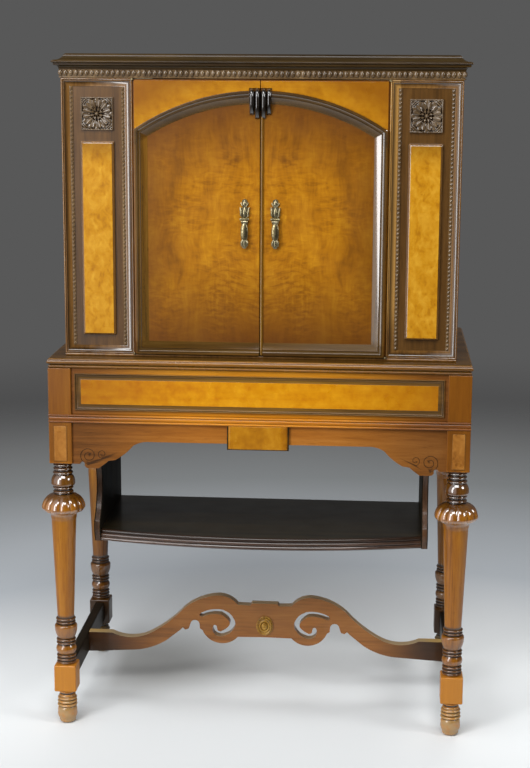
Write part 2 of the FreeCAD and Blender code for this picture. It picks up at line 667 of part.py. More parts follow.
def pull_drop():
    """The pendant of the right pull: an eye on the pin and a shaped drop with a three-lobed tail."""
    z = PULL_PIVOT_Z
    x = PULL_X
    start = vec(x - PULL_EYE_LENGTH / 2, PULL_PIVOT_Y, z)
    eye = Part.makeCylinder(PULL_KNUCKLE, PULL_EYE_LENGTH, start, vec(1, 0, 0))
    body = outline(
        on_front(PULL_PIVOT_Y - PULL_DROP / 2), (x - 3, z - 2), (x - 3, z - 6),
        ((x - 7.5, z - 24), (x - 4, z - 38)), ((x - 8, z - 43), (x - 4, z - 47)),
        ((x, z - 55), (x + 4, z - 47)), ((x + 8, z - 43), (x + 4, z - 38)),
        ((x + 7.5, z - 24), (x + 3, z - 6)), (x + 3, z - 2))
    body = body.extrude(vec(0, PULL_DROP, 0))
    hole = Part.makeCylinder(PULL_EYE, 9, vec(x - 4.5, PULL_PIVOT_Y, z), vec(1, 0, 0))
    return eye.fuse(body).cut(hole).removeSplitter()


def add_doors():
    """Both doors. The right one carries the strip that covers the meeting line."""
    pieces = {"door_slab": door_slab(), "spandrel": spandrel(), "keystone_half": keystone_half(),
              "pull_plate": pull_plate(), "pull_drop": pull_drop(),
              "door_leaves": Part.makeCompound(door_leaves()), "case_leaves": case_leaves()}
    for name, shape in pieces.items():
        nodes["right_" + name] = shape
        nodes["left_" + name] = mirrored(shape)
    near = DOOR_MEETING_EDGE
    far = near + ASTRAGAL
    nodes["right_door_moulding"] = door_moulding(far)
    nodes["left_door_moulding"] = mirrored(door_moulding(near))
    strip = outline(on_plan(DOOR_BOTTOM + 0.5), (near, DOOR_FACE), (near, DOOR_FACE - 2),
                    (((near + far) / 2, DOOR_FACE - 4.5), (far, DOOR_FACE - 2)), (far, DOOR_FACE))
    strip = strip.extrude(vec(0, 0, KEYSTONE_BOTTOM - DOOR_BOTTOM - 0.5))
    nodes["astragal"] = strip.cut(nodes["right_keystone_half"])


add_legs()
add_table()
add_stretchers()
add_hung_shelf()
add_case()
add_pilasters()
add_doors()

os.makedirs("parts", exist_ok=True)
for name, shape in nodes.items():
    shape.exportStep(os.path.join("parts", name + ".step"))
print(len(nodes), "nodes")
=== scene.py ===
# %% [markdown]
# # A two-door cabinet on a turned stand
# The cabinet is a veneered box with two doors, carried by a table with four turned legs. The solids that
# give its sizes come from the frame. This lesson dresses them: it keeps every piece where the frame has
# it, and adds the softened edges, carving, mouldings, veneers and brass that the eye looks for.

# %% Load the frame
import json
import math

import bmesh
import bpy
from mathutils import Matrix, Vector

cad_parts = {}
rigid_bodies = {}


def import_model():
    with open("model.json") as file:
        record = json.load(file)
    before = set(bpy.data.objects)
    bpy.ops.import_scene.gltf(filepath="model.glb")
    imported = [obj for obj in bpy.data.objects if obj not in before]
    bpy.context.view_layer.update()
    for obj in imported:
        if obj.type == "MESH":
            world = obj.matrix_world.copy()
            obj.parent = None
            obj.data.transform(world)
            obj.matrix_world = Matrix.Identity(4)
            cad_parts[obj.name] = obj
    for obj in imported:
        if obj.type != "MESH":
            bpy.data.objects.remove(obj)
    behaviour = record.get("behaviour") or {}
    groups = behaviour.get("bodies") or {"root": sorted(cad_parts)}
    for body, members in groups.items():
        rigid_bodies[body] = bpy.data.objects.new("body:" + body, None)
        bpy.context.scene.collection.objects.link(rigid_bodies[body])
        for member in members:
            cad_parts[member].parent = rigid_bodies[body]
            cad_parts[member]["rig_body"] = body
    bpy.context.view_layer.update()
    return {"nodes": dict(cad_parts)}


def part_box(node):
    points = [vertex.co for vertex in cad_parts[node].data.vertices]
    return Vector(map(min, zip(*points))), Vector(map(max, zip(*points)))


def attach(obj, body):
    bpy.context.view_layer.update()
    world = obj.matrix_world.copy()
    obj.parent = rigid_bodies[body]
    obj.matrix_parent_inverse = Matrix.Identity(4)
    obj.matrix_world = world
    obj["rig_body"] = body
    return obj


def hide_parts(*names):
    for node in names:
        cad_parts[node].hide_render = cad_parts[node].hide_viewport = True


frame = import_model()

nodes = frame["nodes"]

# %% [markdown]
# ## Camera
# The picture was taken from a little above the cabinet, a short way to the right of its middle, with a
# long lens. The place and the three turns were worked out from corners that must be level and upright on
# the real cabinet. A long lens keeps uprights nearly parallel, which is why the legs barely converge.

# %% Camera
VIEW_FROM = Vector((0.2505, -3.5812, 1.4453))
VIEW_TURN = math.radians(4.045)
VIEW_DROP = math.radians(11.351)
VIEW_ROLL = math.radians(0.297)
LENS = 76.47

lens = bpy.data.cameras.new("picture_camera")
lens.lens = LENS
lens.sensor_width = 36
camera = bpy.data.objects.new("picture_camera", lens)
bpy.context.scene.collection.objects.link(camera)
tilt = Matrix.Rotation(math.pi / 2 - VIEW_DROP, 4, "X") @ Matrix.Rotation(VIEW_ROLL, 4, "Z")
camera.matrix_world = Matrix.Translation(VIEW_FROM) @ Matrix.Rotation(VIEW_TURN, 4, "Z") @ tilt
bpy.context.scene.camera = camera
bpy.context.scene.view_settings.view_transform = "Standard"
print("camera", round(VIEW_FROM.length, 2), "metres from the origin")

# %% [markdown]
# ## Node helpers
# Every finish below is a small graph of shader nodes. Writing each node as one call, with its inputs in a
# dictionary that takes either a number or another node's socket, keeps such a graph readable from top to
# bottom. The few nodes that come up most often get a short call of their own.

# %% Node helpers
def feed(tree, node, inputs):
    """Fills the inputs of a node. An input is a value, or a socket to link from."""
    for key, value in inputs.items():
        if isinstance(value, bpy.types.NodeSocket):
            tree.links.new(value, node.inputs[key])
        else:
            node.inputs[key].default_value = value


def add_node(tree, kind, inputs=None, **settings):
    """Makes a shader node."""
    made = tree.nodes.new("ShaderNode" + kind)
    for key, value in settings.items():
        setattr(made, key, value)
    feed(tree, made, inputs or {})
    return made


def new_material(name):
    """A material with its main shader, ready to be fed."""
    made = bpy.data.materials.new(name)
    made.use_nodes = True
    return made


def surface(tree, inputs):
    """Feeds the main shader of a material."""
    feed(tree, tree.nodes["Principled BSDF"], inputs)


def tone(red, green, blue):
    """A paint-chart colour (0 to 255) as the linear colour that shaders use."""
    def linear(value):
        share = value / 255
        return share / 12.92 if share <= 0.04045 else ((share + 0.055) / 1.055) ** 2.4

    return (linear(red), linear(green), linear(blue), 1.0)


def ramp(tree, share, *stops):
    """A colour ramp; a stop is its place and its colour."""
    made = add_node(tree, "ValToRGB", {"Fac": share})
    points = made.color_ramp.elements
    points[1].position, points[1].color = stops[-1]
    points[0].position, points[0].color = stops[0]
    for place, colour in stops[1:-1]:
        points.new(place).color = colour
    return made.outputs["Color"]


def spread(tree, value, start, end, low=0.0, high=1.0, way="SMOOTHSTEP"):
    """Rescales a value from start..end to low..high."""
    limits = {"Value": value, "From Min": start, "From Max": end, "To Min": low, "To Max": high}
    return add_node(tree, "MapRange", limits, interpolation_type=way).outputs["Result"]


def blend(tree, share, first, second, way="MIX"):
    """Mixes two colours; share, first and second are values or sockets."""
    inputs = {0: share, 6: first, 7: second}
    return add_node(tree, "Mix", inputs, data_type="RGBA", blend_type=way).outputs[2]


def times(tree, first, second):
    """The product of two numbers."""
    return add_node(tree, "Math", {0: first, 1: second}, operation="MULTIPLY").outputs[0]


def larger(tree, first, second):
    """The larger of two numbers."""
    return add_node(tree, "Math", {0: first, 1: second}, operation="MAXIMUM").outputs[0]


def own_place(tree):
    """Where a point lies on its own object, in metres."""
    return add_node(tree, "TexCoord").outputs["Object"]


def axis(tree, place, letter):
    """One of the three numbers of a place."""
    return add_node(tree, "SeparateXYZ", {0: place}).outputs[letter]


def distance(tree, place, point):
    """How far a place is from a fixed point."""
    return add_node(tree, "VectorMath", {0: place, 1: point}, operation="DISTANCE").outputs["Value"]


print("node helpers ready")

# %% [markdown]
# ## Floor
# The floor is a pale studio sweep. A pool of light is painted on it under the cabinet, so the ramp runs on
# the distance from the middle of that pool. Towards the viewer it darkens, because lacquer low on the stand
# would otherwise mirror it as a grey veil. Painted shadows lie at the left under the shelf and behind. Far
# out the floor fades into the even grey of the backdrop, which hides the horizon.

# %% Floor
FLOOR_SIZE = 10.0
FLOOR_FADE = (2.4, 4.6)
FRONT_FADE = (0.1, -1.8)
POOL_MIDDLE = (0.18, -0.6, 0.0)
POOL_REACH = 4.0
POOL_TONES = ((0.22, (234, 237, 238)), (0.31, (203, 206, 208)), (0.39, (170, 175, 180)),
              (0.49, (158, 162, 166)), (0.64, (128, 131, 132)), (0.79, (114, 115, 115)), (1.0, (84, 84, 84)))
# A shade is its middle, its reach, its strength, its tone and where it ends on the left.
SHADES = (((-0.29, 0.15, 0.0), 0.34, 0.55, (74, 66, 50), -0.42),
          ((-0.13, 0.7, 0.0), 0.75, 0.4, (74, 76, 78), -1.0))
SHADE_CORE = 0.04
SHADE_EDGE = 0.08
BLACK = (0, 0, 0, 1)


def floor_paint():
    """Pool of light, shades and fading borders."""
    paint = new_material("studio_floor")
    tree = paint.node_tree
    place = own_place(tree)
    pool = times(tree, distance(tree, place, POOL_MIDDLE), 1 / POOL_REACH)
    colour = ramp(tree, pool, *[(share, tone(*grey)) for share, grey in POOL_TONES])
    for middle, reach, strength, dark, left_end in SHADES:
        shade = spread(tree, distance(tree, place, middle), reach, SHADE_CORE, 0.0, strength)
        inside = spread(tree, axis(tree, place, "X"), left_end, left_end + SHADE_EDGE)
        colour = blend(tree, times(tree, shade, inside), colour, tone(*dark))
    in_front = spread(tree, axis(tree, place, "Y"), *FRONT_FADE, 0.0, 0.8)
    solid = spread(tree, distance(tree, place, (0, 0, 0)), *FLOOR_FADE, 1.0, 0.0)
    surface(tree, {"Base Color": blend(tree, in_front, colour, BLACK), "Alpha": solid, "Roughness": 0.7,
                   "Specular IOR Level": 0.0})
    return paint


def make_floor():
    half = FLOOR_SIZE / 2
    corners = [(-half, -half, 0), (half, -half, 0), (half, half, 0), (-half, half, 0)]
    mesh = bpy.data.meshes.new("studio_floor")
    mesh.from_pydata(corners, [], [(0, 1, 2, 3)])
    mesh.materials.append(floor_paint())
    floor = bpy.data.objects.new("studio_floor", mesh)
    bpy.context.scene.collection.objects.link(floor)


make_floor()
print("floor of", FLOOR_SIZE, "metres with", len(SHADES), "shades")

# %% [markdown]
# ## Light
# Upright mouldings only mirror lamps that reach down to their own height, so a tall box stands like a
# window on the left. Two small strong lamps give the turned rings their sharp glints, and a bank above
# the camera does the rest. The two lamps overhead stand for light off the ceiling, which leaves no
# highlight. Lacquer mirrors a room that is dark in front and bright at the front left, while the camera
# itself sees one grey.

# %% Light
BACKDROP = tone(88, 88, 88)
ROOM_FRONT = tone(40, 40, 40)
ROOM_WINDOW = tone(226, 228, 232)
# A lamp is its name, place and aim, its width and height, its watts, and whether lacquer mirrors it.
LAMPS = (
    ("left_window", (-2.3, -2.75, 1.25), (0, 0, 0.9), 0.9, 2.3, 40, True),
    ("left_flash", (-1.2, -2.0, 2.05), (0, 0, 0.7), 0.7, 0.7, 18, True),
    ("right_flash", (2.4, -1.1, 1.9), (0, 0, 0.7), 0.8, 0.8, 21, True),
    ("front_bank", (0.0, -2.4, 3.6), (0, 0, 0.5), 2.4, 1.2, 66, True),
    ("ceiling_light", (0.0, 0.2, 4.2), (0, 0.2, 0), 3.0, 3.0, 90, False),
    ("rear_ceiling_light", (0.4, 2.8, 4.4), (0, 0.2, 0.7), 2.4, 1.6, 46, False),
)


def soft_box(name, place, aim, width, height, watts, mirrored):
    """A large area lamp that looks at a point."""
    lamp = bpy.data.lights.new(name, "AREA")
    lamp.shape = "RECTANGLE"
    lamp.size = width
    lamp.size_y = height
    lamp.energy = watts
    holder = bpy.data.objects.new(name, lamp)
    holder.location = place
    holder.rotation_euler = (Vector(aim) - Vector(place)).to_track_quat("-Z", "Y").to_euler()
    holder.visible_glossy = mirrored
    bpy.context.scene.collection.objects.link(holder)


def room_grey(tree, direction):
    """Grey of the room: lighter behind the cabinet than in front of it, and lightest at the front left."""
    depth = axis(tree, direction, "Y")
    wall = ramp(tree, spread(tree, depth, -0.3, 0.4), (0.0, ROOM_FRONT), (1.0, BACKDROP))
    left = spread(tree, axis(tree, direction, "X"), -0.02, -0.35)
    front = spread(tree, depth, 0.3, -0.2)
    return blend(tree, times(tree, left, front), wall, ROOM_WINDOW)


for lamp in LAMPS:
    soft_box(*lamp)
world = bpy.data.worlds.new("studio")
world.use_nodes = True
room = world.node_tree
around = add_node(room, "TexCoord").outputs["Generated"]
seen = add_node(room, "LightPath").outputs["Is Camera Ray"]
feed(room, room.nodes["Background"], {"Color": blend(room, seen, room_grey(room, around), BACKDROP)})
bpy.context.scene.world = world
print(len(LAMPS), "lamps")

# %% [markdown]
# ## Wood grain
# Wood is drawn by noise that is stretched along the grain: coarse bands for the growth of the tree, fine
# streaks for the fibres, and short dark dashes for the pores. The object's own coordinates feed it, so
# the grain turns with a door, and each piece gets a random shift, as boards from different trees would
# have.

# %% Wood grain
ALONG = {"x": (0.055, 1.0, 1.0), "y": (1.0, 0.055, 1.0), "z": (1.0, 1.0, 0.055)}
BOARD_SHIFT = 9.0


def noise(tree, place, scale, detail, roughness=0.5, distortion=0.0, output="Fac"):
    """Cloudy noise about 0.5."""
    inputs = {"Vector": place, "Scale": scale, "Detail": detail, "Roughness": roughness,
              "Distortion": distortion}
    return add_node(tree, "TexNoise", inputs).outputs[output]


def scaled(tree, place, scale):
    """A place whose axes are scaled, which stretches what is drawn there."""
    return add_node(tree, "Mapping", {"Vector": place, "Scale": scale}).outputs["Vector"]


def shifted(tree, place, shift):
    """A place moved by a shift."""
    return add_node(tree, "VectorMath", {0: place, 1: shift}, operation="ADD").outputs["Vector"]


def grain(tree, along):
    """Returns place, coarse bands, fine streaks and pores of a board with its grain along x, y or z."""
    place = own_place(tree)
    chance = add_node(tree, "ObjectInfo").outputs["Random"]
    board = shifted(tree, scaled(tree, place, ALONG[along]), times(tree, chance, BOARD_SHIFT))
    bands = noise(tree, board, 26, 4, 0.62, 0.7)
    streaks = noise(tree, board, 190, 5, 0.7)
    pores = spread(tree, noise(tree, board, 620, 2), 0.66, 0.74)
    return place, bands, streaks, pores


print("grain runs along", ", ".join(ALONG))

# %% [markdown]
# ## Lacquer and glaze
# Lacquer is a clear coat over the colour, a little duller where noise says it is worn. A maker rubs dark
# glaze into the hollows and hands polish the crests, so the mesh's own curvature, which Blender calls
# pointiness, darkens grooves and lightens edges. The dark in the grooves is also painted shade, and the grey
# polished tone given to the carving, the keystone and the shelf's reeds is a painted highlight. Where
# lacquer lies thick or thin by the height, a ramp says so.

# %% Lacquer and glaze
COAT_ROUGHNESS = 0.09
RELIEF = {"Strength": 0.12, "Distance": 0.0006}
HOLLOW_BEND = (0.497, 0.45)
CREST_BEND = (0.515, 0.62)
# Dark glaze and painted shade, in one tone.
GLAZE_AND_SHADE = tone(24, 15, 8)
HAND_WORN = tone(216, 194, 134)
# Polish wear and a painted highlight, for the crests of carving and reeds.
POLISHED_HIGHLIGHT = tone(206, 194, 170)
# Golden tone of a painted highlight.
LIT_GOLD = tone(204, 156, 84)


def lacquer(tree, colour, height, gloss, coat, shine=0.3, build=1.5):
    """Joins a colour and a fine relief to the polished surface. A higher build mirrors more."""
    worn = noise(tree, own_place(tree), 14, 3)
    dullness = spread(tree, worn, 0.1, 0.9, gloss - 0.06, gloss + 0.1, "LINEAR")
    relief = add_node(tree, "Bump", {**RELIEF, "Height": height}).outputs["Normal"]
    surface(tree, {"Base Color": colour, "Roughness": dullness, "Normal": relief,
                   "Specular IOR Level": shine, "Coat Weight": coat, "Coat IOR": build,
                   "Coat Roughness": COAT_ROUGHNESS})


def by_height(tree, place, stops):
    """A number that changes with the height; a stop is a height in metres and the number there."""
    greys = [(level, (share, share, share, 1.0)) for level, share in stops]
    return ramp(tree, axis(tree, place, "Z"), *greys)


def polish(finish, *stops):
    """Sets how thick the lacquer of a finish lies, by the height."""
    tree = finish.node_tree
    surface(tree, {"Coat Weight": by_height(tree, own_place(tree), stops)})


def rubbed(tree, colour, glaze, crest, worn_tone=HAND_WORN):
    """Darkens hollows with glaze and painted shade and lightens worn crests, by the curvature of the mesh; a
    grey worn tone makes the crests a painted highlight.
    """
    bend = add_node(tree, "NewGeometry").outputs["Pointiness"]
    hollow = spread(tree, bend, *HOLLOW_BEND, 0.0, glaze)
    worn = spread(tree, bend, *CREST_BEND, 0.0, crest)
    return blend(tree, worn, blend(tree, hollow, colour, GLAZE_AND_SHADE), worn_tone, "SOFT_LIGHT")


# Glaze in the hollows is also painted shade.
print("glaze in hollows, polish on crests")

# %% [markdown]
# ## Stained walnut
# The legs, rails, stretchers and mouldings are one timber under a toned lacquer. One function stains a board
# from three tones, dark to light, and another makes a whole finish of it. Some boards turn golden towards
# the middle of the cabinet, and two have painted light of their own, a painted shade on one and a painted
# highlight on the other, which a small function of the place gives.

# %% Stained walnut
FIGURE = (0.3, 0.5, 0.7)
STREAK_SHARE = 0.42
PORE_SHARE = 0.45
WARM_REACH = (0.40, 0.10)


def new_finish(name):
    """An empty finish."""
    finish = new_material(name)
    return finish


def mixed(tree, share, first, second):
    """Mixes two numbers."""
    return add_node(tree, "Mix", {0: share, 2: first, 3: second}).outputs[0]


def from_middle(tree, place):
    """Distance from the middle of the cabinet, to either side."""
    return add_node(tree, "Math", {0: axis(tree, place, "X")}, operation="ABSOLUTE").outputs[0]


def figured(tree, figure, tones, stops=FIGURE):
    """Colours a figure with three paint-chart tones, dark to light."""
    return ramp(tree, figure, *zip(stops, [tone(*each) for each in tones]))


def stained(tree, along, tones, warm=None):
    """Place, colour and fine streaks of a stained board. Warm tones, if any, take over at the middle."""
    place, bands, streaks, pores = grain(tree, along)
    figure = mixed(tree, STREAK_SHARE, bands, streaks)
    colour = figured(tree, figure, tones)
    if warm:
        golden = figured(tree, figure, warm)
        colour = blend(tree, spread(tree, from_middle(tree, place), *WARM_REACH), colour, golden)
    return place, blend(tree, times(tree, pores, PORE_SHARE), colour, tone(*tones[0])), streaks


def walnut(name, tones, along="z", gloss=0.3, coat=0.15, glaze=0.75, crest=0.7, shine=0.3, build=1.5,
           warm=None, worn=HAND_WORN, shade=None, shade_tone=GLAZE_AND_SHADE):
    """A stained board from three tones. A shade says where another tone lies: a painted shade, or with a
    light tone a painted highlight.
    """
    finish = new_finish(name)
    tree = finish.node_tree
    place, colour, streaks = stained(tree, along, tones, warm)
    if shade:
        colour = blend(tree, shade(tree, place), colour, shade_tone)
    lacquer(tree, rubbed(tree, colour, glaze, crest, worn), streaks, gloss, coat, shine, build)
    return finish


def painted_lit_member(tree, place):
    """The frame member beside the right door, which is painted golden as a painted highlight."""
    across = axis(tree, place, "X")
    member = times(tree, spread(tree, across, 0.262, 0.266), spread(tree, across, 0.287, 0.283))
    return times(tree, member, spread(tree, axis(tree, place, "Z"), 0.86, 0.95, 0.0, 0.5))


def shaded_upper_reed(tree, place):
    """Painted shade on the upper reed of the shelf, more than on the lowest."""
    return spread(tree, axis(tree, place, "Z"), 0.414, 0.422, 0.0, 0.7)


print("walnut is stained from", len(FIGURE), "tones")

# %% [markdown]
# Each timber has three tones, dark, middle and light, given as from a paint chart. Gloss, coat and glaze
# then tell apart boards that share their tones: the side stretchers are rubbed dull, and the keystone shines
# like ebony.

# %% Walnut tones
RAIL_TONES = ((68, 38, 10), (112, 68, 26), (136, 88, 40))
GOLDEN_TONES = ((150, 88, 12), (186, 122, 22), (206, 146, 44))
ORANGE_TONES = ((116, 64, 16), (160, 98, 32), (182, 120, 52))
FRAME_TONES = ((66, 42, 14), (116, 80, 36), (142, 104, 56))
GROUND_TONES = ((44, 29, 11), (82, 57, 25), (104, 75, 39))
EDGE_TONES = ((76, 50, 10), (118, 82, 20), (142, 106, 34))
OLIVE_TONES = ((52, 36, 12), (92, 64, 24), (118, 86, 40))
DARK_TONES = ((20, 14, 4), (45, 33, 11), (68, 52, 22))
CARVED_TONES = ((44, 34, 22), (92, 74, 52), (130, 110, 84))
EBONY_TONES = ((10, 7, 4), (26, 19, 10), (46, 36, 22))
SHELF_TONES = ((14, 13, 11), (30, 28, 24), (46, 41, 35))
SHELF_EDGE_TONES = ((38, 25, 17), (70, 49, 36), (98, 72, 56))
TOP_TONES = ((40, 27, 8), (72, 50, 18), (98, 70, 30))
INSIDE_TONES = ((104, 72, 40), (150, 112, 68), (178, 140, 94))

rail_wood = walnut("rail_walnut_long", RAIL_TONES, "x", warm=GOLDEN_TONES)
apron_wood = walnut("apron_walnut_long", RAIL_TONES, "x", warm=ORANGE_TONES)
side_rail_wood = walnut("rail_walnut_deep", RAIL_TONES, "y")
top_wood = walnut("top_walnut_long", TOP_TONES, "x", 0.2, 0.0, shine=0.15)
top_edge_wood = walnut("top_edge_walnut", OLIVE_TONES, "x", 0.25, 0.3, crest=1.0,
                       warm=EDGE_TONES)
band_wood = walnut("frieze_band_walnut", OLIVE_TONES, "x", 0.35, 0.1, 0.5, 1.0,
                   warm=EDGE_TONES)
side_stretcher_wood = walnut("side_stretcher_walnut", EBONY_TONES, "y", 0.4, 0.0, shine=0.15)
# The frame member beside the right door carries a painted highlight.
frame_wood = walnut("pilaster_walnut", FRAME_TONES, "z", 0.2, 0.9, build=1.8,
                    shade=painted_lit_member, shade_tone=LIT_GOLD)
ground_wood = walnut("pilaster_ground", GROUND_TONES, "z", 0.3, 0.9, build=1.8)
side_wood = walnut("side_walnut", FRAME_TONES, "z")
dark_wood = walnut("moulding_walnut", DARK_TONES, "x", 0.3, 0.2)
strip_wood = walnut("meeting_strip_walnut", EDGE_TONES, "z", 0.2, 0.6)
carved_wood = walnut("carved_walnut", CARVED_TONES, "z", 0.17, 0.9, 1.0, 1.0, worn=POLISHED_HIGHLIGHT)
ebony_wood = walnut("keystone_walnut", EBONY_TONES, "z", 0.12, 1.0, 0.9, 1.0, build=1.9,
                    worn=POLISHED_HIGHLIGHT)
shelf_wood = walnut("shelf_stain", SHELF_TONES, "x", 0.32, 0.2, crest=0.9)
# The shelf edge has painted shade on its upper reed and a painted highlight on its crests.
shelf_edge_wood = walnut("shelf_edge_stain", SHELF_EDGE_TONES, "x", 0.18, 0.6, crest=0.6,
                         worn=POLISHED_HIGHLIGHT, shade=shaded_upper_reed)
polish(shelf_edge_wood, (0.401, 1.0), (0.411, 0.9), (0.416, 0.3), (0.427, 0.1))
shelf_end_wood = walnut("shelf_end_stain", SHELF_TONES, "z", 0.6, 0.0, shine=0.05)
shelf_end_edge_wood = walnut("shelf_end_edge_stain", SHELF_EDGE_TONES, "z", 0.35, 0.2,
                             crest=0.6)
inside_wood = walnut("inside_wood_long", INSIDE_TONES, "x", 0.5, 0.0, 0.3)
inside_upright = walnut("inside_wood_upright", INSIDE_TONES, "z", 0.5, 0.0, 0.3)

# %% [markdown]
# The legs take a finish of their own. A ramp over the height darkens the small turnings and the shoulder of
# the bulb. The blocks are painted paler, a painted sheen on their flat faces, and are darker at the back.
# The rear legs are painted darker, most below the shelf, as a painted shadow. Mops and shoes have rubbed the
# lacquer from the feet, so a patchy pale tone rises from the floor; noise makes its upper edge ragged. The
# stretcher darkens towards its ends, and faces that look up are painted pale, a painted light on its upper
# side.

# %% Leg and stretcher finish
LEG_TONES = ((80, 41, 4), (144, 87, 14), (176, 116, 28))
STRETCHER_TONES = ((92, 52, 16), (140, 88, 36), (164, 110, 54))
FOOT_TONE = tone(156, 130, 84)
BLOCK_SHEEN = tone(192, 128, 42)
POST_TONE = tone(96, 58, 18)
LIT_TOP = tone(196, 172, 132)
FOOT_TOP = 0.078
FOOT_FADE = 0.03
FOOT_PATCHES = (0.3, 0.6, 0.1, 0.7)
BLOCK_EDGE = (0.142, 0.135)
POST_EDGE = (0.59, 0.60)
BEHIND = (0.0, 0.1)
REAR_SHADE = (0.50, 0.38, 0.12, 0.42)
STRETCHER_ENDS = (0.22, 0.38)
UPWARD = (0.3, 0.9)
DARKENED_HEIGHTS = ((0.137, 0.0), (0.140, 0.7), (0.156, 0.7), (0.164, 0.15), (0.176, 0.15), (0.183, 0.7), (0.194, 0.7),
          (0.202, 0.25), (0.222, 0.1), (0.230, 0.7), (0.243, 0.7), (0.250, 0.0), (0.502, 0.0), (0.513, 0.65),
          (0.530, 0.8), (0.548, 0.55), (0.566, 0.75), (0.590, 0.85), (0.592, 0.0))
LEG_POLISH = ((0.074, 0.5), (0.078, 0.15), (0.135, 0.15), (0.139, 0.5), (0.243, 0.5), (0.252, 0.2),
              (0.465, 0.2), (0.485, 1.0), (0.589, 1.0), (0.594, 0.25))


def leg_finish():
    finish = new_finish("leg_walnut_upright")
    tree = finish.node_tree
    place, colour, streaks = stained(tree, "z", LEG_TONES)
    height = axis(tree, place, "Z")
    # A ramp over the height darkens the small turnings and the shoulder of the bulb.
    colour = blend(tree, by_height(tree, place, DARKENED_HEIGHTS), colour, GLAZE_AND_SHADE)
    colour = blend(tree, spread(tree, height, *POST_EDGE, 0.0, 0.6), colour, POST_TONE)
    world_place = add_node(tree, "NewGeometry").outputs["Position"]
    behind = spread(tree, axis(tree, world_place, "Y"), *BEHIND)
    # Painted shadow on the rear legs, strongest below the shelf.
    shaded = times(tree, behind, spread(tree, height, *REAR_SHADE))
    colour = blend(tree, shaded, colour, GLAZE_AND_SHADE)
    block = spread(tree, height, *BLOCK_EDGE)
    # A painted sheen makes the blocks paler; at the back they are darker.
    colour = blend(tree, times(tree, block, 0.6), colour, BLOCK_SHEEN)
    colour = blend(tree, times(tree, times(tree, block, behind), 0.92), colour, GLAZE_AND_SHADE)
    patch = spread(tree, noise(tree, place, 60, 4), *FOOT_PATCHES)
    rubbed_off = times(tree, spread(tree, height, FOOT_TOP, FOOT_TOP - FOOT_FADE), patch)
    colour = blend(tree, rubbed_off, colour, FOOT_TONE)
    lacquer(tree, rubbed(tree, colour, 1.0, 0.9), streaks, 0.35, 1.0, 0.15, 2.2)
    polish(finish, *LEG_POLISH)
    return finish


def stretcher_finish():
    finish = new_finish("stretcher_walnut")
    tree = finish.node_tree
    place, colour, streaks = stained(tree, "x", STRETCHER_TONES)
    colour = blend(tree, spread(tree, from_middle(tree, place), *STRETCHER_ENDS, 0.0, 0.9), colour, GLAZE_AND_SHADE)
    # Faces that look up are painted pale, a painted light on the stretcher's upper side.
    upward = axis(tree, add_node(tree, "NewGeometry").outputs["Normal"], "Z")
    colour = blend(tree, spread(tree, upward, *UPWARD, 0.0, 0.6), colour, LIT_TOP)
    lacquer(tree, rubbed(tree, colour, 0.75, 0.9), streaks, 0.3, 0.3)
    return finish


leg_wood = leg_finish()
stretcher_wood = stretcher_finish()
print("leg finish, worn below", FOOT_TOP, "metres")

# %% [markdown]
# ## Figured veneers
# The doors wear a veneer with a rippled figure, matched like the pages of a book about the meeting line, so
# the pattern uses the distance from the middle and not the side. Ripples are noise squashed the other way,
# across the grain. The lacquer is toned darker towards the borders, as toned furniture of this kind is:
# below the arch, along the stiles and at the foot. Below the arch the dark is also a painted shadow of the
# moulding. The distance from the centre of the arch's circle gives the first of the three. The moulding
# about it has upright grain on the stiles and level grain on the foot and the arch, which are toned darker;
# over the arch that dark is painted shade.

# %% Door veneer
MM = 0.001
ARCH_CENTRE = 909.0
ARCH_RADIUS = 468.0
MOULDING_WIDTH = 27.0
ARCH_HALF_WIDTH = 0.236
PANEL_FOOT = 0.855
VENEER_TONES = ((106, 62, 4), (163, 104, 7), (194, 136, 22))
BORDER_TONE = tone(88, 48, 10)
TOP_SHADE = 0.14
SIDE_SHADE = 0.106
FOOT_SHADE = 0.18
COVE_TONES = ((52, 35, 10), (96, 68, 24), (124, 92, 40))


def from_arch(tree, place):
    """Distance from the centre of the circle on which the arch is struck, in metres."""
    flat = add_node(tree, "VectorMath", {0: place, 1: (1, 0, 1)}, operation="MULTIPLY").outputs["Vector"]
    return distance(tree, flat, (0, 0, ARCH_CENTRE * MM))


def stirred(tree, place, scale, detail, reach):
    """A place that wanders about by up to half a reach."""
    cloud = noise(tree, place, scale, detail, output="Color")
    stir = add_node(tree, "VectorMath", {0: cloud, "Scale": reach}, operation="SCALE").outputs["Vector"]
    return shifted(tree, place, stir)


